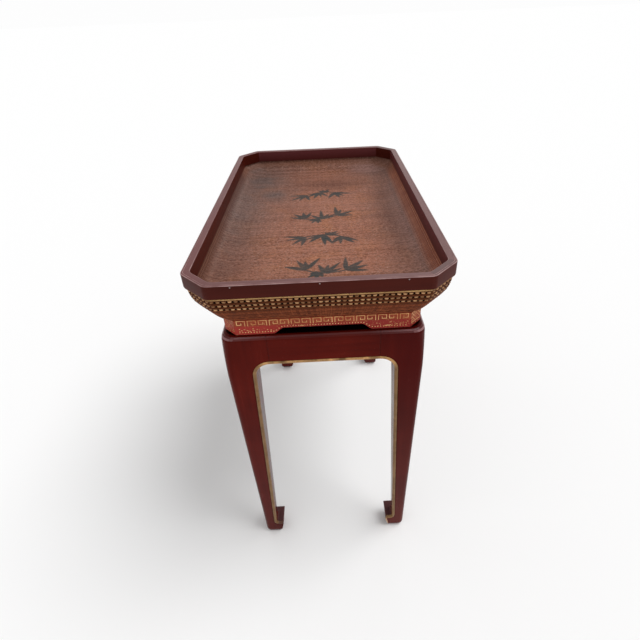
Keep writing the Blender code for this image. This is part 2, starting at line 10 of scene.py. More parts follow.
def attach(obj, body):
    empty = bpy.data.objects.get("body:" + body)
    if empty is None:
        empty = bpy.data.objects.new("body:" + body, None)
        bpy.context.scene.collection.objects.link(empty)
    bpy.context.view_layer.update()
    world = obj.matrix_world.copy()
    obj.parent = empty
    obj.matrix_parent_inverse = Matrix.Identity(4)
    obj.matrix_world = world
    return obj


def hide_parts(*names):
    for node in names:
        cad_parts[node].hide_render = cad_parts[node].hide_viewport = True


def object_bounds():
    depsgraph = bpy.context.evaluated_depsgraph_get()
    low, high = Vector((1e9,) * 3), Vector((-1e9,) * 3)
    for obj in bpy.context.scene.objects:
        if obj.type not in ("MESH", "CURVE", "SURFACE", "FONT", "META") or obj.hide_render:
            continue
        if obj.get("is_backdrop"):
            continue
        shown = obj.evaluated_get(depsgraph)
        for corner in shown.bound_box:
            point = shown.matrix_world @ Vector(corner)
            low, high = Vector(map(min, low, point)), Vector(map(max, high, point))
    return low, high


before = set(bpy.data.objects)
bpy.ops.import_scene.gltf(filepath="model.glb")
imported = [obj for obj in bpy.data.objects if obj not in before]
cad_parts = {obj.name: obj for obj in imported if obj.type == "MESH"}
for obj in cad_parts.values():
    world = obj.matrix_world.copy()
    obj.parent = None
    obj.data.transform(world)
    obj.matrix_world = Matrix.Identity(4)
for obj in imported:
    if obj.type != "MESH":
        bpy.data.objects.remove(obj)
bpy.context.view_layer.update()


# Legs and aprons: posts with hoof feet turned inwards, tenoned into four deep boards with a round shoulder.
# Many thin coats of oxblood lacquer, rubbed to a soft gloss and drawn over each joint of leg and apron.
STAND_HALF_X = 0.152
STAND_HALF_Y = 0.287
STAND_TOP = 0.528
SHOULDER = 0.009
EASED_EDGE = 0.0025
OXBLOOD_DEEP = (0.063, 0.0026, 0.0010)
OXBLOOD_BRIGHT = (0.117, 0.0068, 0.0028)
OXBLOOD_UNFADED = (0.056, 0.0014, 0.0012)
OXBLOOD_SPECK = (0.30, 0.05, 0.04)
SHOULDER_HIGHLIGHT = (0.26, 0.112, 0.116)
TOE_TOP_SHEEN = (0.085, 0.036, 0.039)
FLOOR_REFLECTION = (0.100, 0.085, 0.080)
PAINTED_SHADE_BLACK = (0.0035, 0.0010, 0.0008)
UNFADED_ACROSS = (0.075, 0.125)
UNFADED_LEVELS = (0.28, 0.42)
TOE_HIGHLIGHT_LEVELS = (0.0335, 0.0330)
SHADE_BELOW_TOP = (0.0007, 0.0002)


def wire(tree, kind, inputs=None, output=0, **settings):
    """Add one shader node, its inputs plain values or tones to join to, and give one of its outputs."""
    made = tree.nodes.new(kind)
    for key, value in settings.items():
        setattr(made, key, value)
    for key, value in (inputs or {}).items():
        if isinstance(value, Tone):
            tree.links.new(value.socket, made.inputs[key])
        else:
            made.inputs[key].default_value = value
    return Tone(made.outputs[output])


class Tone:
    """A number, place, colour or light that is worked out at each spot of a surface."""

    def __init__(self, socket):
        self.socket = socket
        self.tree = socket.id_data

    def maths(self, how, other=0.0):
        """One step of arithmetic with another number."""
        return wire(self.tree, "ShaderNodeMath", {0: self, 1: other}, operation=how)

    def __add__(self, other):
        return self.maths("ADD", other)

    def __sub__(self, other):
        return self.maths("SUBTRACT", other)

    def __rsub__(self, other):
        return wire(self.tree, "ShaderNodeMath", {0: other, 1: self}, operation="SUBTRACT")

    def __mul__(self, other):
        return self.maths("MULTIPLY", other)

    def __truediv__(self, other):
        return self.maths("DIVIDE", other)

    def __abs__(self):
        return self.maths("ABSOLUTE")

    def band(self, low, high, to_low=0.0, to_high=1.0):
        """This number stretched from one range to another and held inside it."""
        given = {"Value": self, "From Min": low, "From Max": high, "To Min": to_low, "To Max": to_high}
        return wire(self.tree, "ShaderNodeMapRange", given)

    def mix(self, first, second):
        """Two colours mixed by this amount."""
        given = {0: self}
        for index, colour in ((6, first), (7, second)):
            given[index] = colour if isinstance(colour, Tone) else (*colour, 1.0)
        return wire(self.tree, "ShaderNodeMix", given, 2, data_type="RGBA")

    def feed(self, shader, name):
        """Join to one input of a shader."""
        self.tree.links.new(self.socket, shader.inputs[name])


def placed(tree, stretch=(1.0, 1.0, 1.0)):
    """Place on the piece in metres, stretched along each axis."""
    place = wire(tree, "ShaderNodeTexCoord", output="Object")
    return wire(tree, "ShaderNodeMapping", {"Vector": place, "Scale": stretch})


def axes(place):
    """The three numbers of a place or direction."""
    split = wire(place.tree, "ShaderNodeSeparateXYZ", {0: place}).socket.node
    return [Tone(socket) for socket in split.outputs]


def surface_normal(tree):
    """Direction in which a surface looks."""
    return wire(tree, "ShaderNodeNewGeometry", output="Normal")


def facing_up(tree):
    """How far a surface looks up, from -1 to 1."""
    return axes(surface_normal(tree))[2]


def cloudy(place, scale, detail=3.0, rough=0.55):
    """Soft random tone between 0 and 1."""
    given = {"Vector": place, "Scale": scale, "Detail": detail, "Roughness": rough}
    return wire(place.tree, "ShaderNodeTexNoise", given)


def relief(height, distance, strength, eased=0.0):
    """Surface normal raised by a height, on edges eased to a radius."""
    given = {"Height": height, "Distance": distance, "Strength": strength}
    if eased:
        given["Normal"] = wire(height.tree, "ShaderNodeBevel", {"Radius": eased}, samples=6)
    return wire(height.tree, "ShaderNodeBump", given)


def new_finish(name, gloss=0.5):
    """Empty material with its shader: material, tree and Principled node."""
    made = bpy.data.materials.new(name)
    made.use_nodes = True
    shader = made.node_tree.nodes["Principled BSDF"]
    shader.inputs["Specular IOR Level"].default_value = gloss
    return made, made.node_tree, shader


def lacquer(name, brushing):
    """Brushed oxblood lacquer: painted highlights and reflections, painted black shade on the flat top."""
    made, tree, shader = new_finish(name)
    slow = cloudy(placed(tree), 9.0)
    brush = cloudy(placed(tree, brushing), 1.0, 4.0)
    tone = slow * 0.6 + brush * 0.4
    colour = tone.band(0.34, 0.66).mix(OXBLOOD_DEEP, OXBLOOD_BRIGHT)
    speck = cloudy(placed(tree), 420.0, 2.0).band(0.70, 0.76, 0.0, 0.35)
    colour = speck.mix(colour, OXBLOOD_SPECK)
    across, along, level = axes(placed(tree))
    unfaded = across.band(*UNFADED_ACROSS, 0.0, 0.70) * level.band(*UNFADED_LEVELS)
    colour = unfaded.mix(colour, OXBLOOD_UNFADED)
    to_corner = abs(across / STAND_HALF_X).maths("MINIMUM", abs(along / STAND_HALF_Y))
    turned = facing_up(tree)
    # Painted highlight: a pale mauve line along the rounded shoulder, stronger and glossier towards the
    # corners.
    up = turned.band(0.40, 0.60) * turned.band(0.86, 0.68) * to_corner.band(0.45, 0.95, 0.20, 0.90)
    painted_highlight = up * level.band(0.05, 0.45, 0.10, 1.0)
    # Painted highlight along the eased edge at the top of each toe.
    toe_highlight = turned.band(0.25, 0.45) * turned.band(0.97, 0.88) * level.band(*TOE_HIGHLIGHT_LEVELS, 0.0, 0.45)
    painted_highlight = painted_highlight.maths("MAXIMUM", toe_highlight)
    colour = painted_highlight.mix(colour, SHOULDER_HIGHLIGHT)
    # Painted sheen: the tops of the toes, which face up, are painted a paler mauve.
    toe_top_sheen = turned.band(0.5, 0.9) * level.band(0.10, 0.06, 0.0, 0.75)
    colour = toe_top_sheen.mix(colour, TOE_TOP_SHEEN)
    # Painted reflection of the pale floor: a grey haze low on the legs, more to the right.
    floor_reflection = level.band(0.46, 0.10, 0.0, 0.15) * across.band(-0.10, 0.10, 0.6, 1.0)
    colour = floor_reflection.mix(colour, FLOOR_REFLECTION)
    # Painted shade: the flat top under the tray's foot is black and almost without gloss.
    shaded_top = level.band(*(STAND_TOP - below for below in SHADE_BELOW_TOP))
    shaded_top.mix(colour, PAINTED_SHADE_BLACK).feed(shader, "Base Color")
    (painted_highlight.band(0.0, 1.0, 0.052, 0.60) * shaded_top.band(0.0, 1.0, 1.0, 0.05)).feed(shader, "Specular IOR Level")
    rubbed = (slow * brush).band(0.15, 0.4, 0.16, 0.30)
    (rubbed + up * 0.34).feed(shader, "Roughness")
    flow = cloudy(placed(tree), 60.0, 2.0) + brush * 0.5
    relief(flow, 0.0002, 0.3, EASED_EDGE).feed(shader, "Normal")
    return made


post_lacquer = lacquer("post_lacquer", (90.0, 90.0, 5.0))
end_lacquer = lacquer("end_lacquer", (5.0, 90.0, 90.0))
side_lacquer = lacquer("side_lacquer", (90.0, 5.0, 90.0))

CORNERS = ("front_left", "front_right", "back_right", "back_left")
SAME_POINT = 1e-6
HOOF_CURVE = 0.012
HOOF_STEPS = 6
HOOF_DRAWN_IN = 0.22
HOOF_MIDDLE = 0.0235


def finished_mesh(bm, name, smooth_angle=None):
    """Mesh with outward normals, smooth below an angle in degrees or all over."""
    bmesh.ops.recalc_face_normals(bm, faces=bm.faces)
    mesh = bpy.data.meshes.new(name)
    bm.to_mesh(mesh)
    bm.free()
    mesh.polygons.foreach_set("use_smooth", [True] * len(mesh.polygons))
    if smooth_angle is not None:
        mesh.set_sharp_from_angle(angle=math.radians(smooth_angle))
    return mesh


def add_piece(mesh, finishes, body, slot, *nodes):
    """Put a made piece, named as its mesh, on its body, in place of CAD nodes where it stands for them."""
    for finish in finishes:
        mesh.materials.append(finish)
    piece = bpy.data.objects.new(mesh.name, mesh)
    bpy.context.scene.collection.objects.link(piece)
    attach(piece, body)
    if nodes:
        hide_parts(*nodes)


def hoof_spot(spot, middle):
    """A point of the hoof, drawn in towards its middle where the sole curves under."""
    drawn = 1 - HOOF_DRAWN_IN * max(0.0, 1 - spot[2] / HOOF_CURVE) ** 2
    x = middle[0] + (spot[0] - middle[0]) * drawn
    y = middle[1] + (spot[1] - middle[1]) * drawn
    return Vector((x, y, spot[2]))


for corner in CORNERS:
    bm = bmesh.new()
    bm.from_mesh(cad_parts["leg_" + corner].data)
    bmesh.ops.remove_doubles(bm, verts=bm.verts, dist=SAME_POINT)
    for step in range(1, HOOF_STEPS + 1):
        whole = [*bm.verts, *bm.edges, *bm.faces]
        cut = (0.0, 0.0, HOOF_CURVE * step / HOOF_STEPS)
        bmesh.ops.bisect_plane(bm, geom=whole, dist=SAME_POINT / 10, plane_co=cut, plane_no=(0.0, 0.0, 1.0))
    middle_x = (STAND_HALF_X - HOOF_MIDDLE) * (1 if "right" in corner else -1)
    middle_y = (STAND_HALF_Y - HOOF_MIDDLE) * (1 if "back" in corner else -1)
    for spot in bm.verts:
        spot.co = hoof_spot(spot.co, (middle_x, middle_y))
    leg_mesh = finished_mesh(bm, "hoofed_leg_" + corner, 40)
    leg_mesh.polygons.foreach_set("use_smooth", [face.center.z < HOOF_CURVE for face in leg_mesh.polygons])
    add_piece(leg_mesh, [post_lacquer], "stand", "oxblood_lacquer", "leg_" + corner)


def dressed(node, finish):
    """Give a CAD node its finish."""
    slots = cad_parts[node].data.materials
    slots.clear()
    slots.append(finish)


for side in ("front", "back"):
    dressed("apron_" + side, end_lacquer)
for side in ("left", "right"):
    dressed("apron_" + side, side_lacquer)

SEAM_FROM_CORNER = 0.06815
SEAM_HALF_WIDTH = 0.0004
SEAM_SUNK = 0.00008
SEAM_DEEP = 0.016
SEAM_FOOT = 0.4835
SEAM_STEPS = 8


def skinned(bm, rings, closed_ends=True, loop=False):
    """Faces between rings of points with equal counts."""
    made = [[bm.verts.new(point) for point in ring] for ring in rings]
    pairs = list(zip(made, made[1:]))
    if loop:
        pairs.append((made[-1], made[0]))
    elif closed_ends:
        bm.faces.new(made[0][::-1])
        bm.faces.new(made[-1])
    for here, there in pairs:
        for index in range(len(here)):
            after = (index + 1) % len(here)
            bm.faces.new((here[index], here[after], there[after], there[index]))
    return made


bm = bmesh.new()
seam_section = [(SEAM_SUNK, SEAM_FOOT)]
for step in range(SEAM_STEPS + 1):
    angle = math.pi / 2 * step / SEAM_STEPS
    depth = SHOULDER * (1 - math.cos(angle)) + SEAM_SUNK
    seam_section.append((depth, STAND_TOP - SHOULDER * (1 - math.sin(angle)) - SEAM_SUNK))
seam_section += [(SEAM_DEEP, STAND_TOP - SEAM_SUNK), (SEAM_DEEP, SEAM_FOOT)]
for turn in range(4):
    half_along, half_across = (STAND_HALF_Y, STAND_HALF_X) if turn % 2 else (STAND_HALF_X, STAND_HALF_Y)
    placing = Matrix.Rotation(turn * math.pi / 2, 3, "Z")
    for end in (-1, 1):
        middle = end * (half_along - SEAM_FROM_CORNER)
        rings = []
        for along in (middle - SEAM_HALF_WIDTH, middle + SEAM_HALF_WIDTH):
            ring = [Vector((along, depth - half_across, level)) for depth, level in seam_section]
            rings.append([placing @ spot for spot in ring])
        skinned(bm, rings)
add_piece(finished_mesh(bm, "joint_lacquer", 40), [post_lacquer], "stand", "oxblood_lacquer")


# Beads: a half-round moulding let into the inner edge of legs and aprons, from toe to toe on each side.
# Gilded with leaf over a red ground, rubbed through to the ground where hands and cloths have passed.
# On the right front toe a line of the same leaf runs on down the toe's edge.
BEAD_GOLD = ((0.82, 0.45, 0.18), (0.165, 0.086, 0.029), (0.085, 0.030, 0.015))
TOE_GOLD = ((0.62, 0.41, 0.25), (0.42, 0.27, 0.155), (0.085, 0.030, 0.015))
BEAD_DULL_BELOW = 0.455
TOE_WORN_FROM = (-0.1210, -0.1165)
TOE_WORN_TO = (-0.05, -0.09)
TOE_WORN_BELOW = (0.0385, 0.0355)


def gilding(name, gold, wear, dull_below=-1.0, worn_cants=0.0):
    """Old gold: leaf, tarnish and ground in patches, duller below a level and worn on cants and left toes."""
    leaf, tarnish, ground = gold
    made, tree, shader = new_finish(name, 0.3)
    patch = cloudy(placed(tree), 55.0, 4.0)
    across, along, level = axes(placed(tree))
    bright = patch.band(0.35, 0.65) * level.band(dull_below, dull_below + 0.03, 0.12, 1.0)
    colour = bright.mix(tarnish, leaf)
    rub = cloudy(placed(tree), 190.0, 5.0, 0.65)
    bare = rub.band(wear, wear + 0.07)
    if dull_below > 0:
        left_toe = across.band(*TOE_WORN_FROM) * across.band(*TOE_WORN_TO)
        bare = bare.maths("MAXIMUM", left_toe * level.band(*TOE_WORN_BELOW))
    if worn_cants:
        facing = axes(surface_normal(tree))
        canted = abs(facing[0] * facing[1])
        bare = bare.maths("MAXIMUM", canted.band(0.08, 0.22, 0.0, worn_cants))
    bare.mix(colour, ground).feed(shader, "Base Color")
    bare.band(0.0, 1.0, 0.25, 0.0).feed(shader, "Metallic")
    patch.band(0.3, 0.7, 0.50, 0.36).feed(shader, "Roughness")
    relief(rub, 0.0003, 0.4).feed(shader, "Normal")
    return made


def oval(middle, first, second, sides=8):
    """Points round an oval strand, from its middle and its two half widths."""
    angles = [2 * math.pi * corner / sides for corner in range(sides)]
    return [middle + first * math.cos(angle) + second * math.sin(angle) for angle in angles]


bead_gilding = gilding("bead_gilding", BEAD_GOLD, 0.605, BEAD_DULL_BELOW)
for side in ("front", "right", "back", "left"):
    dressed("gilt_bead_" + side, bead_gilding)

TOE_LINE_TOP = 0.0295
TOE_LINE_BOTTOM = 0.0060
TOE_LINE_STEPS = 8
TOE_LINE_RADIUS = 0.0016
TOE_LINE_TAPER = 0.6
TOE_TIP = (0.1078, -0.2796, 0.0310)
TOE_SLOPE = 0.214
toe_middle = (STAND_HALF_X - HOOF_MIDDLE, HOOF_MIDDLE - STAND_HALF_Y)
bm = bmesh.new()
rings = []
for step in range(TOE_LINE_STEPS + 1):
    part = step / TOE_LINE_STEPS
    level = TOE_LINE_TOP + (TOE_LINE_BOTTOM - TOE_LINE_TOP) * part
    middle = hoof_spot((TOE_TIP[0] + TOE_SLOPE * (TOE_TIP[2] - level), TOE_TIP[1], level), toe_middle)
    radius = TOE_LINE_RADIUS * (1 - TOE_LINE_TAPER * part ** 3)
    rings.append(oval(middle, Vector((radius, 0.0, 0.0)), Vector((0.0, radius, 0.0))))
skinned(bm, rings)
toe_gilding = gilding("toe_gilding", TOE_GOLD, 0.62)
add_piece(finished_mesh(bm, "toe_line", 60), [toe_gilding], "stand", "gilding")


# Panel, rails and corner blocks: a thin board lies in the frame under the tray, over two plain rails.
# The board is coloured near black, a painted shade for the dark under the tray. The rails are housed in
# the long aprons, and a glued block stiffens each corner.
PAINTED_SHADE_PALE = (0.010, 0.004, 0.003)
RAIL_DARK = (0.19, 0.10, 0.048)
RAIL_PALE = (0.34, 0.20, 0.105)
RAIL_GRAIN = (6.0, 150.0, 150.0)

# Painted shade: the panel under the tray is coloured near black.
painted_shade_coat, tree, shader = new_finish("painted_shade_coat", 0.08)
brush = cloudy(placed(tree, (80.0, 6.0, 80.0)), 1.0, 4.0)
brush.mix(PAINTED_SHADE_BLACK, PAINTED_SHADE_PALE).feed(shader, "Base Color")
brush.band(0.3, 0.7, 0.5, 0.7).feed(shader, "Roughness")
relief(brush, 0.0002, 0.4).feed(shader, "Normal")
dressed("top_panel", painted_shade_coat)

cross_timber, tree, shader = new_finish("cross_timber", 0.25)
streak = cloudy(placed(tree, RAIL_GRAIN), 1.0, 5.0, 0.6)
given = {"Vector": placed(tree, RAIL_GRAIN), "Scale": 0.35, "Distortion": 6.0, "Detail": 3.0}
year_rings = wire(tree, "ShaderNodeTexWave", given, "Fac")
tone = streak * 0.65 + year_rings * 0.35
tone.band(0.25, 0.75).mix(RAIL_DARK, RAIL_PALE).feed(shader, "Base Color")
streak.band(0.3, 0.7, 0.62, 0.85).feed(shader, "Roughness")
relief(tone, 0.0004, 0.6).feed(shader, "Normal")
for place in ("front", "back"):
    dressed("cross_rail_" + place, cross_timber)
for corner in CORNERS:
    dressed("corner_block_" + corner, cross_timber)


# Tray foot: eight thin boards mitred into a ring, the four long ones cut away below into bracket feet.
# Orange-red lacquer, deeper at the pads, painted in raised gold: a key fret, a row of dots, and a diaper
# on the corners.
EIGHT_SIDES = ("front", "front_right", "right", "back_right", "back", "back_left", "left", "front_left")
FOOT_HALF_X = 0.1455
FOOT_HALF_Y = 0.2805
FOOT_CANT = 0.0178
FOOT_BOTTOM = 0.5283
FOOT_TOP = 0.5533
PAD_LENGTH = 0.0545
BRACKET_RUN = 0.017
BRACKET_RISE = 0.0098
FOOT_RED_DARK = (0.220, 0.029, 0.012)
FOOT_RED_PALE = (0.370, 0.076, 0.031)
PAD_RED = (0.275, 0.024, 0.018)
PAD_RED_LEFT = (0.360, 0.034, 0.024)
PAD_HEIGHT = 0.0162
FOOT_FLECK = (0.55, 0.28, 0.10)


def octagon(half_x, half_y, cant):
    """Corners of a canted rectangle, from the front's left end round to the right."""
    quarter = [(half_x - cant, -half_y), (half_x, -half_y + cant)]
    right = quarter + [(x, -y) for x, y in reversed(quarter)]
    left = [(-x, -y) for x, y in right]
    return [Vector(corner) for corner in (left[-1], *right, *left[:-1])]


foot_red, tree, shader = new_finish("foot_red", 0.12)
slow = cloudy(placed(tree), 28.0, 4.0)
colour = slow.band(0.32, 0.68).mix(FOOT_RED_DARK, FOOT_RED_PALE)
across, along, level = axes(placed(tree))
on_pad = (level + slow * 0.003 - FOOT_BOTTOM - PAD_HEIGHT).band(0.001, -0.001)
pad_tone = across.band(-0.09, -0.03).mix(PAD_RED_LEFT, PAD_RED)
colour = on_pad.mix(colour, pad_tone)
fleck = cloudy(placed(tree), 460.0, 2.0, 0.5)
scatter = cloudy(placed(tree), 70.0, 2.0).band(0.42, 0.66)
(fleck.band(0.60, 0.66) * scatter).mix(colour, FOOT_FLECK).feed(shader, "Base Color")
slow.band(0.3, 0.7, 0.34, 0.5).feed(shader, "Roughness")
relief(slow + fleck * 0.3, 0.0003, 0.4).feed(shader, "Normal")
for side in EIGHT_SIDES:
    dressed("foot_" + side, foot_red)

GOLD_LINE = 0.00095
GOLD_RISE = 0.00025
GOLD_SUNK = 0.0001
FRET_TOP = 0.5526
FRET_STEP_ALONG = 0.0029
FRET_STEP_UP = 0.00178
FRET_ACROSS = 5.4
FRET_MARGIN = 0.002
SPIRAL = ((0.0, 0.0), (0.0, 5.0), (4.0, 5.0), (4.0, 1.3), (1.8, 1.3), (1.8, 3.2))
SPIRAL_MIDDLE = 2.0
SPIRAL_HEIGHT = 5.0
DOT_RADIUS = 0.00085
DOT_SPACING = 0.0041
DOT_LEVEL_ON_PAD = 0.0040
DOT_LEVEL_ON_ARCH = 0.0027
DOT_MARGIN = 0.003
SPECKS_ON_PAD = 16
SPECK_MARGINS = (0.003, 0.002)
SPECK_LEVELS = (0.0062, 0.0112)
SPECK_RUNS = (0.0006, 0.0024)
SPECK_RISE = 0.0006
SPECK_WIDTHS = (0.0006, 0.0011)
LEAF_LEFT_ON = ((-0.0294, 0.0121, 0.0085), (0.0939, 0.0052, 0.0105))
LEAF_STROKES = ((-0.42, 0.0011), (-0.10, 0.0017), (0.24, 0.0013))
LEAF_STROKE_RUN = 0.27
LEAF_SLANT = 0.0006
DIAPER_PITCH = 0.0065
DIAPER_LINES = 12
DIAPER_MARGIN = 0.0012
DIAPER_BOTTOM = 0.0060
DIAPER_TOP = 0.0014
DIAPER_DOTS = 0.0030
FRET_GOLD = ((0.98, 0.63, 0.27), (0.62, 0.28, 0.10), (0.30, 0.055, 0.024))
DARKER_GOLD = ((0.66, 0.34, 0.13), (0.42, 0.13, 0.05), (0.30, 0.055, 0.024))


def gold_stroke(bm, points, width, onto):
    """One raised gold line along points on a flat face, with mitred turns."""
    points = [Vector(point) for point in points]
    runs = [(there - here).normalized() for here, there in zip(points, points[1:])]
    rings = []
    for point, before, after in zip(points, [runs[0], *runs], [*runs, runs[-1]]):
        heading = (before + after).normalized()
        across = Vector((-heading.y, heading.x)) * (width / 2 / max(0.5, heading.dot(after)))
        ring = []
        for part, out in ((1.0, -GOLD_SUNK), (0.7, GOLD_RISE), (-0.7, GOLD_RISE), (-1.0, -GOLD_SUNK)):
            spot = point + across * part
            ring.append(onto(spot.x, spot.y, out))
        rings.append(ring)
    skinned(bm, rings)


def gold_dot(bm, along, level, radius, onto):
    """One raised gold dot on a flat face."""
    rings = []
    for size, out in ((1.0, -GOLD_SUNK), (0.9, GOLD_RISE * 0.6), (0.5, GOLD_RISE)):
        reach = radius * size
        ring = oval(Vector((along, level)), Vector((reach, 0.0)), Vector((0.0, reach)))
        rings.append([onto(spot.x, spot.y, out) for spot in ring])
    skinned(bm, rings)


def bracket_edge(along, half_face):
    """Height of a foot board's lower edge at a place along its face, from 0 at the pads to 1 at the arch."""
    pad = half_face - PAD_LENGTH
    part_way = min(1.0, max(0.0, (pad - abs(along)) / BRACKET_RUN))
    return (1 - math.cos(math.pi * part_way)) / 2


def clipped(start, slope, half_face, low, high):
    """Ends of a sloping line inside a rectangle, or nothing."""
    (x0, z0), (x1, z1) = sorted((start + (level - low) / slope, level) for level in (low, high))
    gradient = (z1 - z0) / (x1 - x0)
    if x0 < -half_face:
        x0, z0 = -half_face, z0 + gradient * (-half_face - x0)
    if x1 > half_face:
        x1, z1 = half_face, z1 + gradient * (half_face - x1)
    return [(x0, z0), (x1, z1)] if x1 - x0 > GOLD_LINE else None


def face_placing(index):
    """Half length of one face of the foot, and a function from along, level and outwards to a place."""
    corners = octagon(FOOT_HALF_X, FOOT_HALF_Y, FOOT_CANT)
    first = corners[index]
    last = corners[(index + 1) % 8]
    middle = (first + last) / 2
    heading = (last - first).normalized()
    outward = Vector((heading.y, -heading.x))

    def onto(along, level, out):
        spot = middle + heading * along + outward * out
        return (spot.x, spot.y, level)

    return (last - first).length / 2, onto


chance = random.Random(7)
fret_gold = gilding("fret_gold", FRET_GOLD, 0.60)
darker_gold = gilding("darker_gold", DARKER_GOLD, 0.50)
for index, side in enumerate(EIGHT_SIDES):
    half_face, onto = face_placing(index)
    bm = bmesh.new()
    if index % 2 == 0:
        room = 2 * (half_face - FRET_MARGIN)
        count = int(room / (FRET_ACROSS * FRET_STEP_ALONG) / 2) * 2
        pitch = room / count
        for number in range(count):
            middle = (number + 0.5 - count / 2) * pitch
            facing = 1 if number % 2 else -1
            line = []
            for x, z in SPIRAL:
                along = middle + facing * (x - SPIRAL_MIDDLE) * FRET_STEP_ALONG
                line.append((along, FRET_TOP - (SPIRAL_HEIGHT - z) * FRET_STEP_UP))
            gold_stroke(bm, line, GOLD_LINE, onto)
        dots = int(2 * (half_face - DOT_MARGIN) / DOT_SPACING)
        for number in range(dots):
            along = (number + 0.5 - dots / 2) * DOT_SPACING
            climb = BRACKET_RISE + DOT_LEVEL_ON_ARCH - DOT_LEVEL_ON_PAD
            level = FOOT_BOTTOM + DOT_LEVEL_ON_PAD + climb * bracket_edge(along, half_face)
            gold_dot(bm, along, level, DOT_RADIUS, onto)
        for end in (-1, 1):
            for number in range(SPECKS_ON_PAD):
                along = end * (half_face - chance.uniform(SPECK_MARGINS[0], PAD_LENGTH - SPECK_MARGINS[1]))
                level = FOOT_BOTTOM + chance.uniform(*SPECK_LEVELS)
                run = chance.uniform(*SPECK_RUNS)
                rise = chance.uniform(-SPECK_RISE, SPECK_RISE)
                width = chance.uniform(*SPECK_WIDTHS)
                gold_stroke(bm, [(along, level), (along + run, level + rise)], width, onto)
        for along, above, run in LEAF_LEFT_ON if side == "front" else ():
            for part, width in LEAF_STROKES:
                x = along + part * run
                z = FOOT_BOTTOM + above + part * LEAF_SLANT
                end = (x + run * LEAF_STROKE_RUN, z + LEAF_SLANT / 2)
                gold_stroke(bm, [(x, z), end], width, onto)
    else:
        inner = half_face - DIAPER_MARGIN
        low = FOOT_BOTTOM + DIAPER_BOTTOM
        high = FOOT_TOP - DIAPER_TOP
        for number in range(-DIAPER_LINES, DIAPER_LINES + 1):
            for slope in (1.0, -1.0):
                ends = clipped(number * DIAPER_PITCH, slope, inner, low, high)
                if ends:
                    gold_stroke(bm, ends, GOLD_LINE * 0.5, onto)
        for level in (high, low):
            gold_stroke(bm, [(-inner, level), (inner, level)], GOLD_LINE * 0.7, onto)
        for number in range(-1, 2):
            gold_dot(bm, number * DIAPER_PITCH, FOOT_BOTTOM + DIAPER_DOTS, DOT_RADIUS * 0.8, onto)
    # The front-left and back-right cants take a darker gold.
    gold = darker_gold if side in ("front_left", "back_right") else fret_gold
    add_piece(finished_mesh(bm, "foot_gold_" + side, 50), [gold], "tray", "gilding")


# Floor battens: three bearers on edge across the ring of the foot, which carry the woven dish.
# Plain split wood, left bare because the dish and the foot hide them.
for place in ("front", "middle", "back"):
    dressed("floor_batten_" + place, cross_timber)


# Outer basket: flat bamboo stakes held by four wefts, a short gilt wrap over each stake between two wefts.
# Black gaps are left between the wraps. Below the open rows the wall is close woven down to the foot,
# stained brown.
RIM_HALF_X = 0.185
RIM_HALF_Y = 0.320
RIM_CANT = 0.038
BASKET_TOP = 0.6152
BASKET_BOTTOM = 0.5536
BASKET_BULGE = 0.010
BASKET_OVERHANG = 0.003
WALL_CORNER_RADIUS = 0.014
EIGHTH = math.pi / 8
NO_TURN = 1e-9
STAKES = (37, 6, 71, 6, 37, 6, 71, 6)
STAKE_WIDTH = 0.0052
STAKE_DEPTHS = (0.0011, 0.0020)
STAKE_CROWN = 0.0002
STAKE_TUCKED_IN = 0.001
STAKE_SHORT_BY = 0.0004
STAKE_STEPS = 7
STAKE_BROWN = ((0.014, 0.0045, 0.002), (0.055, 0.017, 0.0065))
WEFT_ROWS = (0.61195, 0.60525, 0.5985, 0.5918)
WEFT_HEIGHT = 0.0036
WEFT_THICKNESS = 0.0009
WEFT_DEPTH = 0.0009
WEFT_BULGE = 0.00025
WEFT_WANDER = 0.0002
WEFT_STEPS = 4
WEFT_BROWN = ((0.042, 0.010, 0.003), (0.135, 0.037, 0.011))
WRAP_ROWS = (0.6086, 0.6019, 0.5951)
WRAP_REACH = 0.0030
WRAP_HEIGHT = 0.0025
WRAP_THICKNESS = 0.0010
WRAP_DEPTH = 0.0006
WRAP_TUCK = 0.0018
WRAP_NARROWED = 0.35
WRAP_TILT = 0.13
WRAP_LEAN = 0.0003
WRAP_STEPS = 8
WRAP_SHADE_FROM = 0.6
WRAP_END_SHADE = 0.9
WRAP_GILT = ((0.12, 0.036, 0.012), (0.76, 0.435, 0.215))
CLOSE_TOP = 0.5936
CLOSE_ROWS = 25
CLOSE_ROW_HEIGHT = (CLOSE_TOP - BASKET_BOTTOM) / CLOSE_ROWS
CLOSE_STEPS = 3
CLOSE_RIDGE_START = 0.25
CLOSE_RELIEF = 0.0005
CLOSE_UNDER = 0.45
CLOSE_BACK = 0.0018
COLUMNS_PER_STAKE = 4
COLUMN_WIDTH = 0.0021
CLOSE_BROWN = ((0.070, 0.014, 0.005), (0.310, 0.083, 0.032))
CLOSE_SEAM = (0.020, 0.005, 0.002)
CLOSE_RED_EDGE = (0.5584, 0.5576)


def drawn_in(half_x, half_y, cant, inset):
    """Octagon drawn in evenly on all eight sides."""
    return half_x - inset, half_y - inset, cant - inset * math.sqrt(2) * math.tan(EIGHTH)


def wall_plan(level, depth, shrink=0.0):
    """Octagon of the basket's wall at a level, a depth inside its outer face."""
    part_way = (BASKET_TOP - level) / (BASKET_TOP - BASKET_BOTTOM)
    top = drawn_in(RIM_HALF_X, RIM_HALF_Y, RIM_CANT, BASKET_OVERHANG)
    bottom = (FOOT_HALF_X, FOOT_HALF_Y, FOOT_CANT)
    outside = [high + (low - high) * part_way for high, low in zip(top, bottom)]
    half_x, half_y, cant = drawn_in(*outside, depth - BASKET_BULGE * 4 * part_way * (1 - part_way))
    return half_x - shrink, half_y - shrink, cant


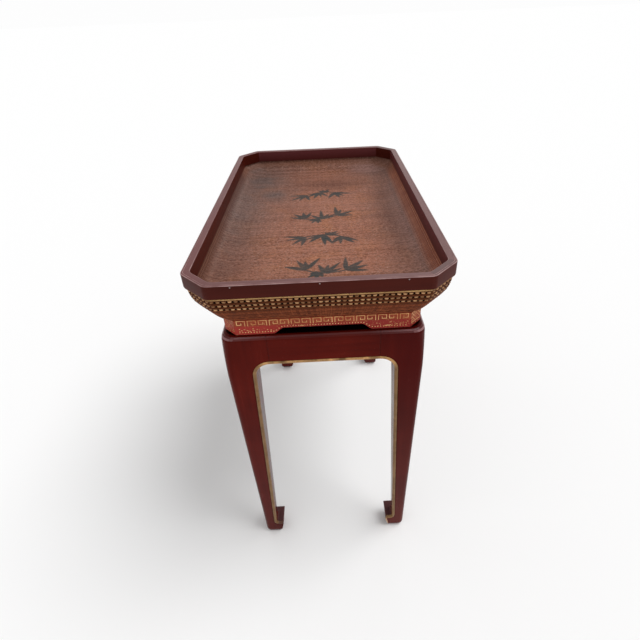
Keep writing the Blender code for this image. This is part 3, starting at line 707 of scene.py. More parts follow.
def bend_spot(plan, side, turn):
    """Place and outward direction in the bend at an end of a side, the first end for a negative turn."""
    corners = octagon(*plan)
    first = corners[side]
    last = corners[(side + 1) % 8]
    heading = (last - first).normalized()
    outward = Vector((heading.y, -heading.x))
    along = heading * (WALL_CORNER_RADIUS * math.tan(EIGHTH))
    hub = (first + along if turn < 0 else last - along) - outward * WALL_CORNER_RADIUS
    facing = outward * math.cos(turn) + heading * math.sin(turn)
    return hub + facing * WALL_CORNER_RADIUS, facing


def round_wall(plan, side, part):
    """Place and outward direction at a part of one side, measured from corner to corner of the round plan."""
    bend = WALL_CORNER_RADIUS * EIGHTH
    start, facing = bend_spot(plan, side, -NO_TURN)
    end = bend_spot(plan, side, NO_TURN)[0]
    straight = (end - start).length
    gone = part * (straight + 2 * bend) - bend
    if gone < 0:
        return bend_spot(plan, side, gone / WALL_CORNER_RADIUS)
    if gone > straight:
        return bend_spot(plan, side, (gone - straight) / WALL_CORNER_RADIUS)
    return start + (end - start) * (gone / straight), facing


def wall_spot(number, level, depth):
    """Place on the wall at a stake number counted round from the front's left end."""
    side = 0
    number %= sum(STAKES)
    while number >= STAKES[side]:
        number -= STAKES[side]
        side += 1
    spot, facing = round_wall(wall_plan(level, depth), side, number / STAKES[side])
    return Vector((spot.x, spot.y, level)), Vector((facing.x, facing.y, 0.0))


def marked(mesh, name, values):
    """Keep one number for each point of a mesh."""
    layer = mesh.attributes.new(name, "FLOAT", "POINT")
    layer.data.foreach_set("value", [float(value) for value in values])


def mark_of(tree, name):
    """The number kept at each point of a mesh."""
    return wire(tree, "ShaderNodeAttribute", output="Fac", attribute_name=name)


def bamboo(name, tones):
    """Split bamboo: fibres, slow patches and a tone kept for each strand."""
    made, tree, shader = new_finish(name, 0.05)
    fibre = cloudy(placed(tree, (1.0, 1.0, 3.0)), 380.0)
    patch = cloudy(placed(tree), 60.0)
    tone = fibre * 0.5 + patch * 0.25 + mark_of(tree, "tone") * 0.4
    tone.band(0.25, 0.90).mix(*tones).feed(shader, "Base Color")
    patch.band(0.3, 0.7, 0.42, 0.62).feed(shader, "Roughness")
    relief(fibre, 0.0003, 0.5).feed(shader, "Normal")
    return made


def one_each(count):
    """A random tone for each whole number."""
    return wire(count.tree, "ShaderNodeTexWhiteNoise", {"W": count}, "Value", noise_dimensions="1D")


def woven(u, v):
    """Height, tone and gap of a twill: strips along u pass over three crossing strips and under one."""
    column = u.maths("FLOOR")
    row = v.maths("FLOOR")
    over = (column - row * 2.0).maths("FLOORED_MODULO", 4.0).maths("GREATER_THAN", 0.5)
    under = 1.0 - over
    crown_v = 1.0 - (abs(v.maths("FRACT") - 0.5) * 2.0).maths("POWER", 3.0)
    crown_u = 0.8 - (abs(u.maths("FRACT") - 0.5) * 2.0).maths("POWER", 3.0)
    height = crown_v * over + crown_u * under
    tone = one_each(row) * over + one_each(column + 0.37) * under
    return height, tone, height.band(0.35, 0.02, 0.0, 0.85)


stake_total = sum(STAKES)
bm = bmesh.new()
tones = []
for number in range(stake_total):
    rings = []
    tone = chance.random()
    low = CLOSE_TOP - STAKE_TUCKED_IN
    for step in range(STAKE_STEPS + 1):
        level = low + (BASKET_TOP - STAKE_SHORT_BY - low) * step / STAKE_STEPS
        here, facing = wall_spot(number + 0.5, level, STAKE_DEPTHS[0])
        back = here - facing * (STAKE_DEPTHS[1] - STAKE_DEPTHS[0])
        along = Vector((-facing.y, facing.x, 0.0)) * STAKE_WIDTH / 2
        crown = here + facing * STAKE_CROWN
        rings.append([here - along, crown, here + along, back + along, back - along])
        tones += [tone] * len(rings[-1])
    skinned(bm, rings)
stake_mesh = finished_mesh(bm, "basket_stakes", 50)
marked(stake_mesh, "tone", tones)
stake_bamboo = bamboo("stake_bamboo", STAKE_BROWN)
add_piece(stake_mesh, [stake_bamboo], "tray", "basket_bamboo", "outer_basket")

bm = bmesh.new()
for row_level in WEFT_ROWS:
    wander = [chance.uniform(-1.0, 1.0) for number in range(stake_total)]
    rings = []
    for step in range(stake_total * WEFT_STEPS):
        number, within = divmod(step, WEFT_STEPS)
        drift = wander[number] + (wander[(number + 1) % stake_total] - wander[number]) * within / WEFT_STEPS
        depth = WEFT_DEPTH - WEFT_BULGE * math.sin(math.pi * within / WEFT_STEPS)
        middle, facing = wall_spot(step / WEFT_STEPS, row_level + WEFT_WANDER * drift, depth)
        rings.append(oval(middle, facing * WEFT_THICKNESS / 2, Vector((0.0, 0.0, WEFT_HEIGHT / 2))))
    skinned(bm, rings, loop=True)
weft_mesh = finished_mesh(bm, "basket_wefts")
marked(weft_mesh, "tone", [0.5] * len(weft_mesh.vertices))
weft_bamboo = bamboo("weft_bamboo", WEFT_BROWN)
add_piece(weft_mesh, [weft_bamboo], "tray", "basket_bamboo", "outer_basket")

bm = bmesh.new()
tones = []
for row_level in WRAP_ROWS:
    for number in range(stake_total):
        tone = chance.random()
        tilt = chance.uniform(-WRAP_TILT, WRAP_TILT)
        lean = chance.uniform(-WRAP_LEAN, WRAP_LEAN)
        middle, facing = wall_spot(number + 0.5, row_level + lean, 0.0)
        along = Vector((-facing.y, facing.x, tilt))
        rings = []
        for step in range(WRAP_STEPS + 1):
            part = 2 * step / WRAP_STEPS - 1
            depth = WRAP_DEPTH + WRAP_TUCK * abs(part) ** 4
            half_height = WRAP_HEIGHT / 2 * (1 - WRAP_NARROWED * abs(part) ** 3)
            centre = middle + along * (WRAP_REACH * part) - facing * depth
            rings.append(oval(centre, facing * WRAP_THICKNESS / 2, Vector((0.0, 0.0, half_height))))
            # Painted shade: each wrap darkens towards its ends, where it tucks in towards the wall.
            tones += [tone - WRAP_END_SHADE * max(0.0, abs(part) - WRAP_SHADE_FROM)] * len(rings[-1])
        skinned(bm, rings)
wrap_mesh = finished_mesh(bm, "basket_wraps", 60)
marked(wrap_mesh, "tone", tones)
wrap_bamboo = bamboo("wrap_bamboo", WRAP_GILT)
add_piece(wrap_mesh, [wrap_bamboo], "tray", "basket_bamboo", "outer_basket")

bm = bmesh.new()
column_total = stake_total * COLUMNS_PER_STAKE
rings = []
row_total = CLOSE_ROWS * CLOSE_STEPS
for step in range(row_total + 1):
    level = BASKET_BOTTOM + (CLOSE_TOP - BASKET_BOTTOM) * step / row_total
    row, within = divmod(step, CLOSE_STEPS)
    ridge = math.sin(math.pi * (within + CLOSE_RIDGE_START) / CLOSE_STEPS)
    ring = []
    for column in range(column_total):
        over = 0.5 + 0.5 * math.cos(math.pi * column / 2 + math.pi * row)
        depth = CLOSE_RELIEF * (1 - ridge * (CLOSE_UNDER + (1 - CLOSE_UNDER) * over))
        ring.append(wall_spot(column / COLUMNS_PER_STAKE, level, depth)[0])
    rings.append(ring)
for level in (CLOSE_TOP, BASKET_BOTTOM):
    numbers = [column / COLUMNS_PER_STAKE for column in range(column_total)]
    rings.append([wall_spot(number, level, CLOSE_BACK)[0] for number in numbers])
skinned(bm, rings, loop=True)
uv_layer = bm.loops.layers.uv.new("weave")
bm.verts.index_update()
for face in bm.faces:
    columns = [loop.vert.index % column_total for loop in face.loops]
    wraps = max(columns) - min(columns) > 1
    for loop, column in zip(face.loops, columns):
        turn = column_total if wraps and column == 0 else column
        loop[uv_layer].uv = (turn * COLUMN_WIDTH, loop.vert.co.z)
close_bamboo, tree, shader = new_finish("close_bamboo", 0.05)
spot = axes(wire(tree, "ShaderNodeUVMap", uv_map="weave"))
height, tone = woven(spot[0] / (2 * COLUMN_WIDTH), spot[1] / CLOSE_ROW_HEIGHT)[:2]
patch = cloudy(placed(tree), 22.0, 4.0)
amount = tone * 0.6 + patch * 0.4
seam = height.band(0.85, 0.15, 0.0, 0.95)
colour = seam.mix(amount.band(0.2, 0.8).mix(*CLOSE_BROWN), CLOSE_SEAM)
red_edge = axes(placed(tree))[2].band(*CLOSE_RED_EDGE)
red_edge.mix(colour, FOOT_RED_DARK).feed(shader, "Base Color")
patch.band(0.3, 0.7, 0.45, 0.65).feed(shader, "Roughness")
relief(height, 0.0005, 0.7).feed(shader, "Normal")
close_mesh = finished_mesh(bm, "basket_close_weave")
add_piece(close_mesh, [close_bamboo], "tray", "basket_bamboo", "outer_basket")


# Woven dish: the tray's inside, close woven from fine bamboo, a flat floor with sides that curve up.
# Stained and varnished, greyer towards the edges, with four sprays of leaves brushed on the floor in ink.
DISH_OUTER_DEPTH = 0.0035
DISH_INNER_DEPTH = 0.0060
DISH_FLARE = 0.040
DISH_BACK_FLARE = 0.003
DISH_UNDER = 0.5879
DISH_FLOOR = 0.5904
DISH_COLUMNS = (72, 12, 150, 12, 72, 12, 150, 12)
DISH_RINGS = 26
DISH_UNDER_RINGS = 8
DISH_RIPPLE = 0.00015
FLOOR_STRIP = 0.0045
FLOOR_GRID = 0.0014
FLOOR_RELIEF = 0.00030
FLOOR_MARGIN = 0.0012
FLOOR_FADE = 0.004
SPRAYS = ((0.004, 0.112, 8), (0.002, 0.008, 188), (0.004, -0.103, 355), (0.010, -0.199, 172))
SPRAY_TWIG = ((-0.044, 0.004), (-0.012, 0.018), (0.016, 0.020), (0.044, 0.008))
SPRAY_GROUPS = ((-0.030, 0.010, 236), (0.000, 0.022, 268), (0.031, 0.012, 304), (0.010, 0.018, 84))
SPRAY_FAN = (-58, -27, 4, 36)
TWIG_WIDTH = 0.0036
TWIG_EDGE = 0.0010
LEAF_SWING = 9
LEAF_LENGTHS = (0.028, 0.046)
LEAF_LENGTHS_ABOVE = (0.014, 0.024)
LEAF_WIDTHS = (0.0078, 0.0102)
LEAF_EDGE = 0.0012
SMOKY_PATCHES = (
    (-0.165, 0.08, 0.068, 0.230, 0.85), (-0.125, 0.23, 0.060, 0.085, 1.00),
    (0.135, 0.27, 0.050, 0.045, 0.75), (0.170, -0.05, 0.030, 0.150, 0.10),
    (-0.060, 0.155, 0.030, 0.020, 0.35), (-0.150, 0.285, 0.045, 0.035, 0.90),
    (-0.100, 0.130, 0.045, 0.055, 0.85))
STAIN_PATCHES = (
    (0.132, 0.02, 0.030, 0.330, 0.85), (0.030, 0.185, 0.110, 0.042, 0.85),
    (-0.140, 0.190, 0.022, 0.012, 0.80), (0.110, -0.075, 0.022, 0.060, 0.35),
    (-0.160, -0.180, 0.055, 0.140, 0.85), (-0.060, 0.045, 0.050, 0.060, 0.35))
SHEEN_PATCHES = ((0.160, -0.02, 0.017, 0.300, 0.55), (0.115, 0.280, 0.035, 0.024, 0.85))
DISH_BROWN = ((0.148, 0.048, 0.025), (0.384, 0.161, 0.102))
DISH_WARM = ((0.160, 0.048, 0.018), (0.410, 0.163, 0.078))
DISH_BARE = (0.46, 0.285, 0.225)
DISH_STAIN = ((0.082, 0.027, 0.015), (0.240, 0.105, 0.072))
DISH_GREY = ((0.060, 0.033, 0.027), (0.212, 0.140, 0.122))
DISH_SHEEN = ((0.190, 0.097, 0.080), (0.370, 0.212, 0.182))
DISH_SEAM = (0.080, 0.034, 0.022)
LEFT_SIDE = ((0.064, 0.023, 0.016), (0.140, 0.060, 0.043))
LEFT_SIDE_WARM = ((0.075, 0.022, 0.010), (0.175, 0.066, 0.036))
RIGHT_WALL_SHEEN = ((0.190, 0.045, 0.024), (0.520, 0.195, 0.100))
RIGHT_SIDE_TOP = (0.200, 0.045, 0.035)
BACK_SIDE = ((0.190, 0.070, 0.036), (0.260, 0.115, 0.068))
LEFT_WALL_HIGHLIGHT = (0.300, 0.190, 0.150)
INK = (0.026, 0.034, 0.033)
DISH_BACK_SHADE = ((0.003, 0.0012, 0.0008), (0.008, 0.003, 0.002))


def dish_ring(depth, floor, flare, angle):
    """Level and plan of one ring of the dish, from its top edge at 0 to its floor at a quarter turn."""
    level = floor + (BASKET_TOP - floor) * (1 - math.sin(angle))
    return level, wall_plan(level, depth, flare * (1 - math.cos(angle)))


def dish_loop(depth, floor, flare, angle, sink=0.0):
    """Points round one ring of the dish."""
    level, plan = dish_ring(depth, floor, flare, angle)
    points = []
    for side, count in enumerate(DISH_COLUMNS):
        for number in range(count):
            spot = round_wall(plan, side, number / count)[0]
            points.append(Vector((spot.x, spot.y, level - sink)))
    return points


def leaf(x, y, base, heading, length, width):
    """Cover of one brushed leaf over points x, y: pointed at its tip, blunt where the brush was set down."""
    dx = x - base[0]
    dy = y - base[1]
    along = (dx * math.cos(heading) + dy * math.sin(heading)) / length
    across = np.abs(-dx * math.sin(heading) + dy * math.cos(heading))
    half = width / 2 * np.sin(np.pi * np.clip(along, 0.0, 1.0) ** 0.62) ** 0.8
    inside = np.clip((half - across) / LEAF_EDGE + 0.3, 0.0, 1.0)
    return np.where((along > 0.0) & (along < 1.0), inside, 0.0)


def twig(x, y, start, end):
    """Cover of one stretch of twig."""
    run = end - start
    part = np.clip(((x - start[0]) * run[0] + (y - start[1]) * run[1]) / (run @ run), 0.0, 1.0)
    off = np.hypot(x - start[0] - part * run[0], y - start[1] - part * run[1])
    return np.clip((TWIG_WIDTH / 2 - off) / TWIG_EDGE + 0.3, 0.0, 1.0)


bm = bmesh.new()
under = []
for step in range(DISH_UNDER_RINGS, -1, -1):
    angle = math.pi / 2 * step / DISH_UNDER_RINGS
    under.append(dish_loop(DISH_OUTER_DEPTH, DISH_UNDER, DISH_BACK_FLARE, angle))
inside = []
for step in range(DISH_RINGS + 1):
    angle = math.pi / 2 * step / DISH_RINGS
    sink = DISH_RIPPLE if step % 2 and step < DISH_RINGS else 0.0
    inside.append(dish_loop(DISH_INNER_DEPTH, DISH_FLOOR, DISH_FLARE, angle, sink))
rings = skinned(bm, under + inside, closed_ends=False)
bm.faces.new(rings[0])
half_x, half_y, cant = dish_ring(DISH_INNER_DEPTH, DISH_FLOOR, DISH_FLARE, math.pi / 2)[1]
count_x = int((half_x - FLOOR_MARGIN) / FLOOR_GRID)
count_y = int((half_y - FLOOR_MARGIN) / FLOOR_GRID)
grid = {}
for row in range(-count_y, count_y + 1):
    for column in range(-count_x, count_x + 1):
        x = column * FLOOR_GRID
        y = row * FLOOR_GRID
        to_cant = (half_x + half_y - cant - abs(x) - abs(y)) / math.sqrt(2)
        room = min(half_x - abs(x), half_y - abs(y), to_cant) - FLOOR_MARGIN
        if room > FLOOR_MARGIN:
            weft = y / FLOOR_STRIP
            warp = x / FLOOR_STRIP
            over = (math.floor(warp) - 2 * math.floor(weft)) % 4 > 0
            crown = 1 - abs(2 * ((weft if over else warp) % 1.0) - 1) ** 3
            rise = FLOOR_RELIEF * (crown - (0.0 if over else 0.2)) * min(1.0, room / FLOOR_FADE)
            grid[(column, row)] = bm.verts.new((x, y, DISH_FLOOR + max(0.0, rise)))
for column, row in list(grid):
    keys = ((column, row), (column + 1, row), (column + 1, row + 1), (column, row + 1))
    if all(key in grid for key in keys):
        bm.faces.new([grid[key] for key in keys])
loose = [corner for corner in grid.values() if not corner.link_faces]
bmesh.ops.delete(bm, geom=loose, context="VERTS")
bmesh.ops.triangle_fill(bm, edges=[edge for edge in bm.edges if edge.is_boundary], use_beauty=True)
bm.verts.index_update()
column_total = sum(DISH_COLUMNS)
under_total = len(under) * column_total
side_total = under_total + len(inside) * column_total
for face in bm.faces:
    face.material_index = 1 if max(corner.index for corner in face.verts) < under_total else 0
dish_mesh = finished_mesh(bm, "dish_weave")
points = np.zeros(len(dish_mesh.vertices) * 3)
dish_mesh.vertices.foreach_get("co", points)
x, y, z = points.reshape(-1, 3).T
ink = np.zeros(len(x))
for middle_x, middle_y, turn in SPRAYS:
    heading = math.radians(turn)
    turning = np.array(((math.cos(heading), -math.sin(heading)), (math.sin(heading), math.cos(heading))))
    middle = np.array((middle_x, middle_y))
    joints = [middle + turning @ np.array(joint) for joint in SPRAY_TWIG]
    for start, end in zip(joints, joints[1:]):
        ink = np.maximum(ink, twig(x, y, start, end))
    for base_x, base_y, group_heading in SPRAY_GROUPS:
        base = middle + turning @ np.array((base_x, base_y))
        for swing in SPRAY_FAN:
            lean = heading + math.radians(group_heading + swing + chance.uniform(-LEAF_SWING, LEAF_SWING))
            length = chance.uniform(*(LEAF_LENGTHS if group_heading > 180 else LEAF_LENGTHS_ABOVE))
            ink = np.maximum(ink, leaf(x, y, base, lean, length, chance.uniform(*LEAF_WIDTHS)))
ink[:side_total] = 0.0
marked(dish_mesh, "ink", ink)
marked(dish_mesh, "up_side", np.clip((z - DISH_FLOOR) / (BASKET_TOP - DISH_FLOOR), 0.0, 1.0))
top_x, top_y, top_cant = wall_plan(BASKET_TOP, DISH_INNER_DEPTH)
canted = (top_x + top_y - top_cant - np.abs(x) - np.abs(y)) / math.sqrt(2)
marked(dish_mesh, "edge_room", np.minimum(np.minimum(top_x - np.abs(x), top_y - np.abs(y)), canted))
for mark, patches in (("smoky", SMOKY_PATCHES), ("stain", STAIN_PATCHES), ("sheen", SHEEN_PATCHES)):
    cover = np.zeros(len(x))
    for patch_x, patch_y, reach_x, reach_y, depth in patches:
        away = ((x - patch_x) / reach_x) ** 2 + ((y - patch_y) / reach_y) ** 2
        cover = np.maximum(cover, depth * np.exp(-away))
    marked(dish_mesh, mark, cover)
marked(dish_mesh, "tone", np.zeros(len(x)))

dish_bamboo, tree, shader = new_finish("dish_bamboo", 0.12)
spot = axes(placed(tree))
weave_height, weave_tone, weave_seam = woven(spot[0] / FLOOR_STRIP, spot[1] / FLOOR_STRIP)
up_side = mark_of(tree, "up_side")
edge_room = mark_of(tree, "edge_room")
slow = cloudy(placed(tree), 9.0, 5.0, 0.6)
patch = cloudy(placed(tree), 34.0, 4.0, 0.6)
streaky = cloudy(placed(tree, (14.0, 210.0, 14.0)), 1.0)
drift = wire(tree, "ShaderNodeTexNoise", {"Vector": placed(tree), "Scale": 7.0, "Detail": 1.0}, "Color")
given = {0: drift, 1: (0.06, 0.06, 0.06), 2: placed(tree)}
curled = wire(tree, "ShaderNodeVectorMath", given, operation="MULTIPLY_ADD")
curled = wire(tree, "ShaderNodeMapping", {"Vector": curled, "Scale": (1.0, 2.0, 1.0)})
speckle = cloudy(curled, 270.0, 3.0, 0.65)
amount = (weave_tone * 0.10 + streaky * 0.14 + speckle * 0.76).band(0.39, 0.61)
warm = cloudy(placed(tree), 21.0).band(0.48, 0.66, 0.0, 0.70)
colour = warm.mix(amount.mix(*DISH_BROWN), amount.mix(*DISH_WARM))
bare = cloudy(curled, 330.0, 2.0).band(0.57, 0.65, 0.0, 0.75)
colour = (bare * patch.band(0.35, 0.65, 0.3, 1.0)).mix(colour, DISH_BARE)
amount = amount * 0.7 + bare * 0.6
grey_from = edge_room + (slow - 0.5) * 0.16
greyed = grey_from.band(0.110, 0.005, 0.0, 0.40)
near_left = spot[1].band(0.03, -0.12) * spot[0].band(-0.02, -0.08)
greyed = greyed * near_left.band(0.0, 1.0, 1.0, 0.10)
ragged = (slow * 0.5 + patch * 0.5).band(0.30, 0.62, 0.55, 1.25)
colour = (mark_of(tree, "stain") * ragged).mix(colour, amount.mix(*DISH_STAIN))
grey_tone = amount.mix(*DISH_GREY)
colour = greyed.mix(colour, grey_tone)
colour = (mark_of(tree, "smoky") * ragged).mix(colour, grey_tone)
# Painted sheen: pale patches on the right wall and at the back-right corner.
colour = (mark_of(tree, "sheen") * ragged).mix(colour, amount.mix(*DISH_SHEEN))
colour = (weave_seam * 0.22).mix(colour, DISH_SEAM)
to_right = spot[0].band(0.02, 0.12)
to_back = spot[1].band(0.21, 0.285)
given = {"W": up_side * 19.0 + slow * 4.0, "Scale": 1.0, "Detail": 2.0}
streak = wire(tree, "ShaderNodeTexNoise", given, noise_dimensions="1D")
streak = streak.band(0.36, 0.64) * patch.band(0.35, 0.65, 0.45, 1.0)
left_side = (near_left * 0.8).mix(streak.mix(*LEFT_SIDE), streak.mix(*LEFT_SIDE_WARM))
# Painted sheen: the right wall, turned away from the lamp, is painted paler and more orange, with streaks
# along it.
right_wall_sheen = up_side.band(0.68, 0.95, 0.0, 0.65).mix(streak.mix(*RIGHT_WALL_SHEEN), RIGHT_SIDE_TOP)
back_side = streak.mix(*BACK_SIDE)
side_tone = to_back.mix(to_right.mix(left_side, right_wall_sheen), back_side)
from_level = up_side + to_right * 0.14
on_side = from_level.band(0.34, 0.52, 0.0, 0.88) * to_back.band(0.0, 1.0, 1.0, 0.45)
colour = on_side.mix(colour, side_tone)
# Painted highlight: a pale line along the curve of the left wall.
line = abs(up_side - 0.30).band(0.055, 0.020, 0.0, 0.10) * spot[0].band(-0.11, -0.14)
colour = line.mix(colour, LEFT_WALL_HIGHLIGHT)
dry = patch * 0.6 + weave_height * 0.25
inked = mark_of(tree, "ink") * dry.band(0.66, 0.34, 0.74, 1.0)
inked.mix(colour, INK).feed(shader, "Base Color")
slow.band(0.3, 0.7, 0.46, 0.62).feed(shader, "Roughness")
relief(weave_height, 0.0005, 0.6).feed(shader, "Normal")
# Painted shade: the back of the dish is near black, so the gaps in the basket show dark.
dish_back_shade = bamboo("dish_back_shade", DISH_BACK_SHADE)
add_piece(dish_mesh, [dish_bamboo, dish_back_shade], "tray", "dish_bamboo", "woven_dish")


# Hoop: a split cane bound round the top of the basket, tight under the rim, to hide the ends of the stakes.
# Gilded like the beads of the stand.
HOOP_GOLD = ((0.70, 0.43, 0.17), (0.40, 0.215, 0.080), (0.16, 0.05, 0.025))
hoop_gilding = gilding("hoop_gilding", HOOP_GOLD, 0.64, worn_cants=0.75)
dressed("gilt_hoop", hoop_gilding)


# Rim: eight boards on edge with a lip inside the woven walls, mitred, edges eased, one fine scratched line.
# Dark red-brown lacquer with a painted greyish-mauve sheen on top, and edges partly worn, partly painted
# highlight.
RIM_BOTTOM = 0.6155
RIM_TOP = 0.6350
RIM_EDGE = 0.0016
RIM_EDGE_STEPS = 5
RIM_INNER = 0.0121
RIM_LIP = 0.0107
RIM_LIP_BOTTOM = 0.6130
RIM_LINE = 0.0034
RIM_LINE_HALF = 0.0004
RIM_LINE_DEEP = 0.0004
MITRE_GAP = 0.00005
RIM_BEND_STEPS = 4
RIM_DEEP = (0.046, 0.0052, 0.0027)
RIM_BRIGHT = (0.076, 0.0100, 0.0052)
RIM_SHEEN_LEFT = (0.166, 0.071, 0.069)
RIM_SHEEN_RIGHT = (0.208, 0.120, 0.116)
RIM_SHEEN_CANT = (0.165, 0.108, 0.104)
RIM_EDGE_WEAR_AND_HIGHLIGHT = (0.40, 0.255, 0.245)
RIM_INSIDE_LIT = (0.125, 0.030, 0.032)
BRUSHED_ALONG_X = (5.0, 110.0, 110.0)
BRUSHED_ALONG_Y = (110.0, 5.0, 110.0)


def rim_finish(name, brushing, inside=(0.0, 0.0, -1.0), sheen_right=RIM_SHEEN_RIGHT, gloss=0.08):
    """Dark lacquer: painted top sheen and edge highlights, the inner face painted lighter and redder."""
    made, tree, shader = new_finish(name, gloss)
    slow = cloudy(placed(tree), 9.0, 4.0)
    brush = cloudy(placed(tree, brushing), 1.0, 4.0)
    tone = slow * 0.5 + brush * 0.5
    colour = tone.band(0.3, 0.7).mix(RIM_DEEP, RIM_BRIGHT)
    across, along, level = axes(placed(tree))
    given = {0: surface_normal(tree), 1: inside}
    inner = wire(tree, "ShaderNodeVectorMath", given, "Value", operation="DOT_PRODUCT")
    # Painted light: the inner face that inside points along is painted lighter and redder.
    lit_inside = inner.band(0.70, 0.95) * level.band(RIM_LIP_BOTTOM, RIM_TOP - 0.006, 0.35, 1.0)
    colour = lit_inside.mix(colour, RIM_INSIDE_LIT)
    turned = facing_up(tree)
    # Painted sheen: faces that look up are painted a greyish mauve, paler towards the right.
    top_sheen = turned.band(0.25, 0.85) * tone.band(0.25, 0.75, 0.75, 1.0)
    sheen_tone = across.band(-RIM_HALF_X, RIM_HALF_X).mix(RIM_SHEEN_LEFT, sheen_right)
    colour = top_sheen.mix(colour, sheen_tone)
    # Partly wear, partly painted highlight: pale marks along the eased top edges, strongest at the front.
    edge = turned.band(0.40, 0.62) * turned.band(0.985, 0.90)
    worn = edge * cloudy(placed(tree), 45.0, 4.0).band(0.38, 0.60, 0.30, 1.0)
    (worn * along.band(-0.20, -0.29, 0.45, 1.0)).mix(colour, RIM_EDGE_WEAR_AND_HIGHLIGHT).feed(shader, "Base Color")
    tone.band(0.3, 0.7, 0.28, 0.44).feed(shader, "Roughness")
    relief(cloudy(placed(tree), 80.0, 2.0) + brush, 0.0002, 0.4).feed(shader, "Normal")
    return made


rim_finishes = {
    "front": rim_finish("front_rim", BRUSHED_ALONG_X),
    "left": rim_finish("left_rim", BRUSHED_ALONG_Y),
    "back": rim_finish("back_rim", BRUSHED_ALONG_X, (0.0, -1.0, 0.0)),
    "right": rim_finish("right_rim", BRUSHED_ALONG_Y, (-1.0, 0.0, 0.0))}
# The cants take their own, darker painted sheen and less gloss.
canted_rim = rim_finish("canted_rim", BRUSHED_ALONG_Y, sheen_right=RIM_SHEEN_CANT, gloss=0.062)
rim_section = [(0.0, RIM_BOTTOM)]
for hub, first_turn in ((RIM_EDGE, 180), (RIM_INNER - RIM_EDGE, 90)):
    if first_turn == 90:
        for away, deep in ((-RIM_LINE_HALF, 0.0), (0.0, RIM_LINE_DEEP), (RIM_LINE_HALF, 0.0)):
            rim_section.append((RIM_LINE + away, RIM_TOP - deep))
    for step in range(RIM_EDGE_STEPS + 1):
        angle = math.radians(first_turn - 90 * step / RIM_EDGE_STEPS)
        rim_section.append((hub + RIM_EDGE * math.cos(angle), RIM_TOP - RIM_EDGE * (1 - math.sin(angle))))
rim_section += [(RIM_INNER, RIM_LIP_BOTTOM), (RIM_LIP, RIM_LIP_BOTTOM), (RIM_LIP, RIM_BOTTOM)]
mitre_turn = EIGHTH - MITRE_GAP / WALL_CORNER_RADIUS
end_turns = [NO_TURN] + [mitre_turn * step / RIM_BEND_STEPS for step in range(1, RIM_BEND_STEPS + 1)]
rim_turns = [-turn for turn in reversed(end_turns)] + end_turns
for index, side in enumerate(EIGHT_SIDES):
    bm = bmesh.new()
    rings = []
    for turn in rim_turns:
        ring = []
        for inset, level in rim_section:
            spot = bend_spot(drawn_in(RIM_HALF_X, RIM_HALF_Y, RIM_CANT, inset), index, turn)[0]
            ring.append((spot.x, spot.y, level))
        rings.append(ring)
    skinned(bm, rings)
    board = finished_mesh(bm, "rim_board_" + side, 40)
    finish = rim_finishes.get(side, canted_rim)
    add_piece(board, [finish], "tray", "rim_lacquer", "rim_" + side)


# Pins: short brass pins with domed heads that hold the rim's boards to the hoop of the basket.
# Left bright when new, now grey and brown.
PIN_BROWN = (0.150, 0.094, 0.086)
PIN_GREY = (0.290, 0.210, 0.197)
pin_brass, tree, shader = new_finish("pin_brass")
stain = cloudy(placed(tree), 900.0)
stain.mix(PIN_BROWN, PIN_GREY).feed(shader, "Base Color")
stain.band(0.3, 0.7, 0.45, 0.30).feed(shader, "Roughness")
relief(stain, 0.0001, 0.4).feed(shader, "Normal")
shader.inputs["Metallic"].default_value = 0.3
for side, count in (("front", 3), ("right", 5), ("back", 3), ("left", 5)):
    for number in range(1, count + 1):
        dressed(f"rim_pin_{side}_{number}", pin_brass)


# Studio: a pale seamless floor under an even white sky, one broad soft light high on the right.
# The camera stands in front of the table's short end and looks down into the tray.
FLOOR_REACH = 60.0
FLOOR_PAINT = 0.94
SKY_LEVEL = 0.60
BACKDROP_WHITE = (0.985, 0.985, 0.985, 1.0)
KEY_LEVEL = 1.64
KEY_FROM = (0.46, -0.02, 0.87)
KEY_SPREAD = math.radians(37)
CAMERA_PLACE = (0.01097, -0.80187, 0.91664)
CAMERA_RIGHT = (0.998761, -0.037488, -0.032722)
CAMERA_DOWN = (-0.048314, -0.573214, -0.817980)
CAMERA_AHEAD = (0.011908, 0.818548, -0.574315)
CAMERA_SENSOR = 36.0
CAMERA_LENS = 444.178 / 640.0 * CAMERA_SENSOR
CAMERA_SHIFT = (-0.0241, -0.0034)

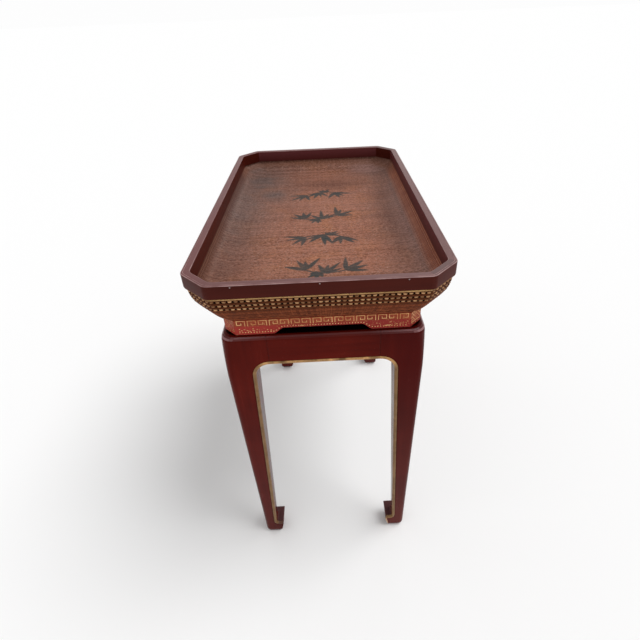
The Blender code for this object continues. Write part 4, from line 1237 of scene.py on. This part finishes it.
bm = bmesh.new()
bmesh.ops.create_grid(bm, x_segments=1, y_segments=1, size=FLOOR_REACH)
floor_mesh = finished_mesh(bm, "studio_floor")
floor_paint, tree, shader = new_finish("floor_paint", 0.0)
shader.inputs["Base Color"].default_value = (FLOOR_PAINT, FLOOR_PAINT, FLOOR_PAINT, 1.0)
shader.inputs["Roughness"].default_value = 1.0
floor_mesh.materials.append(floor_paint)
studio_floor = bpy.data.objects.new("studio_floor", floor_mesh)
bpy.context.scene.collection.objects.link(studio_floor)
studio_floor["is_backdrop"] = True

sky = bpy.data.worlds.new("sky")
sky.use_nodes = True
bpy.context.scene.world = sky
tree = sky.node_tree
tree.nodes.clear()
path = tree.nodes.new("ShaderNodeLightPath").outputs
seen = Tone(path["Is Camera Ray"]).maths("MAXIMUM", Tone(path["Is Glossy Ray"]))
seen = seen.maths("MAXIMUM", Tone(path["Is Transmission Ray"]))
lighting = wire(tree, "ShaderNodeBackground", {"Color": (1.0, 1.0, 1.0, 1.0), "Strength": SKY_LEVEL})
backdrop = wire(tree, "ShaderNodeBackground", {"Color": BACKDROP_WHITE, "Strength": 1.0})
mixed = wire(tree, "ShaderNodeMixShader", {0: seen, 1: lighting, 2: backdrop})
mixed.feed(tree.nodes.new("ShaderNodeOutputWorld"), "Surface")

key = bpy.data.lights.new("key", "SUN")
key.energy = KEY_LEVEL
key.angle = KEY_SPREAD
key_lamp = bpy.data.objects.new("key", key)
key_lamp.rotation_euler = Vector(KEY_FROM).to_track_quat("Z", "Y").to_euler()
bpy.context.scene.collection.objects.link(key_lamp)

lens = bpy.data.cameras.new("camera")
lens.sensor_width = CAMERA_SENSOR
lens.lens = CAMERA_LENS
lens.shift_x, lens.shift_y = CAMERA_SHIFT
lens.clip_end = 200.0
camera = bpy.data.objects.new("camera", lens)
turned = Matrix((CAMERA_RIGHT, -Vector(CAMERA_DOWN), -Vector(CAMERA_AHEAD))).transposed()
camera.matrix_world = Matrix.Translation(CAMERA_PLACE) @ turned.to_4x4()
bpy.context.scene.collection.objects.link(camera)
bpy.context.scene.camera = camera
bpy.context.scene.view_settings.view_transform = "Standard"

bpy.context.view_layer.update()
low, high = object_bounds()
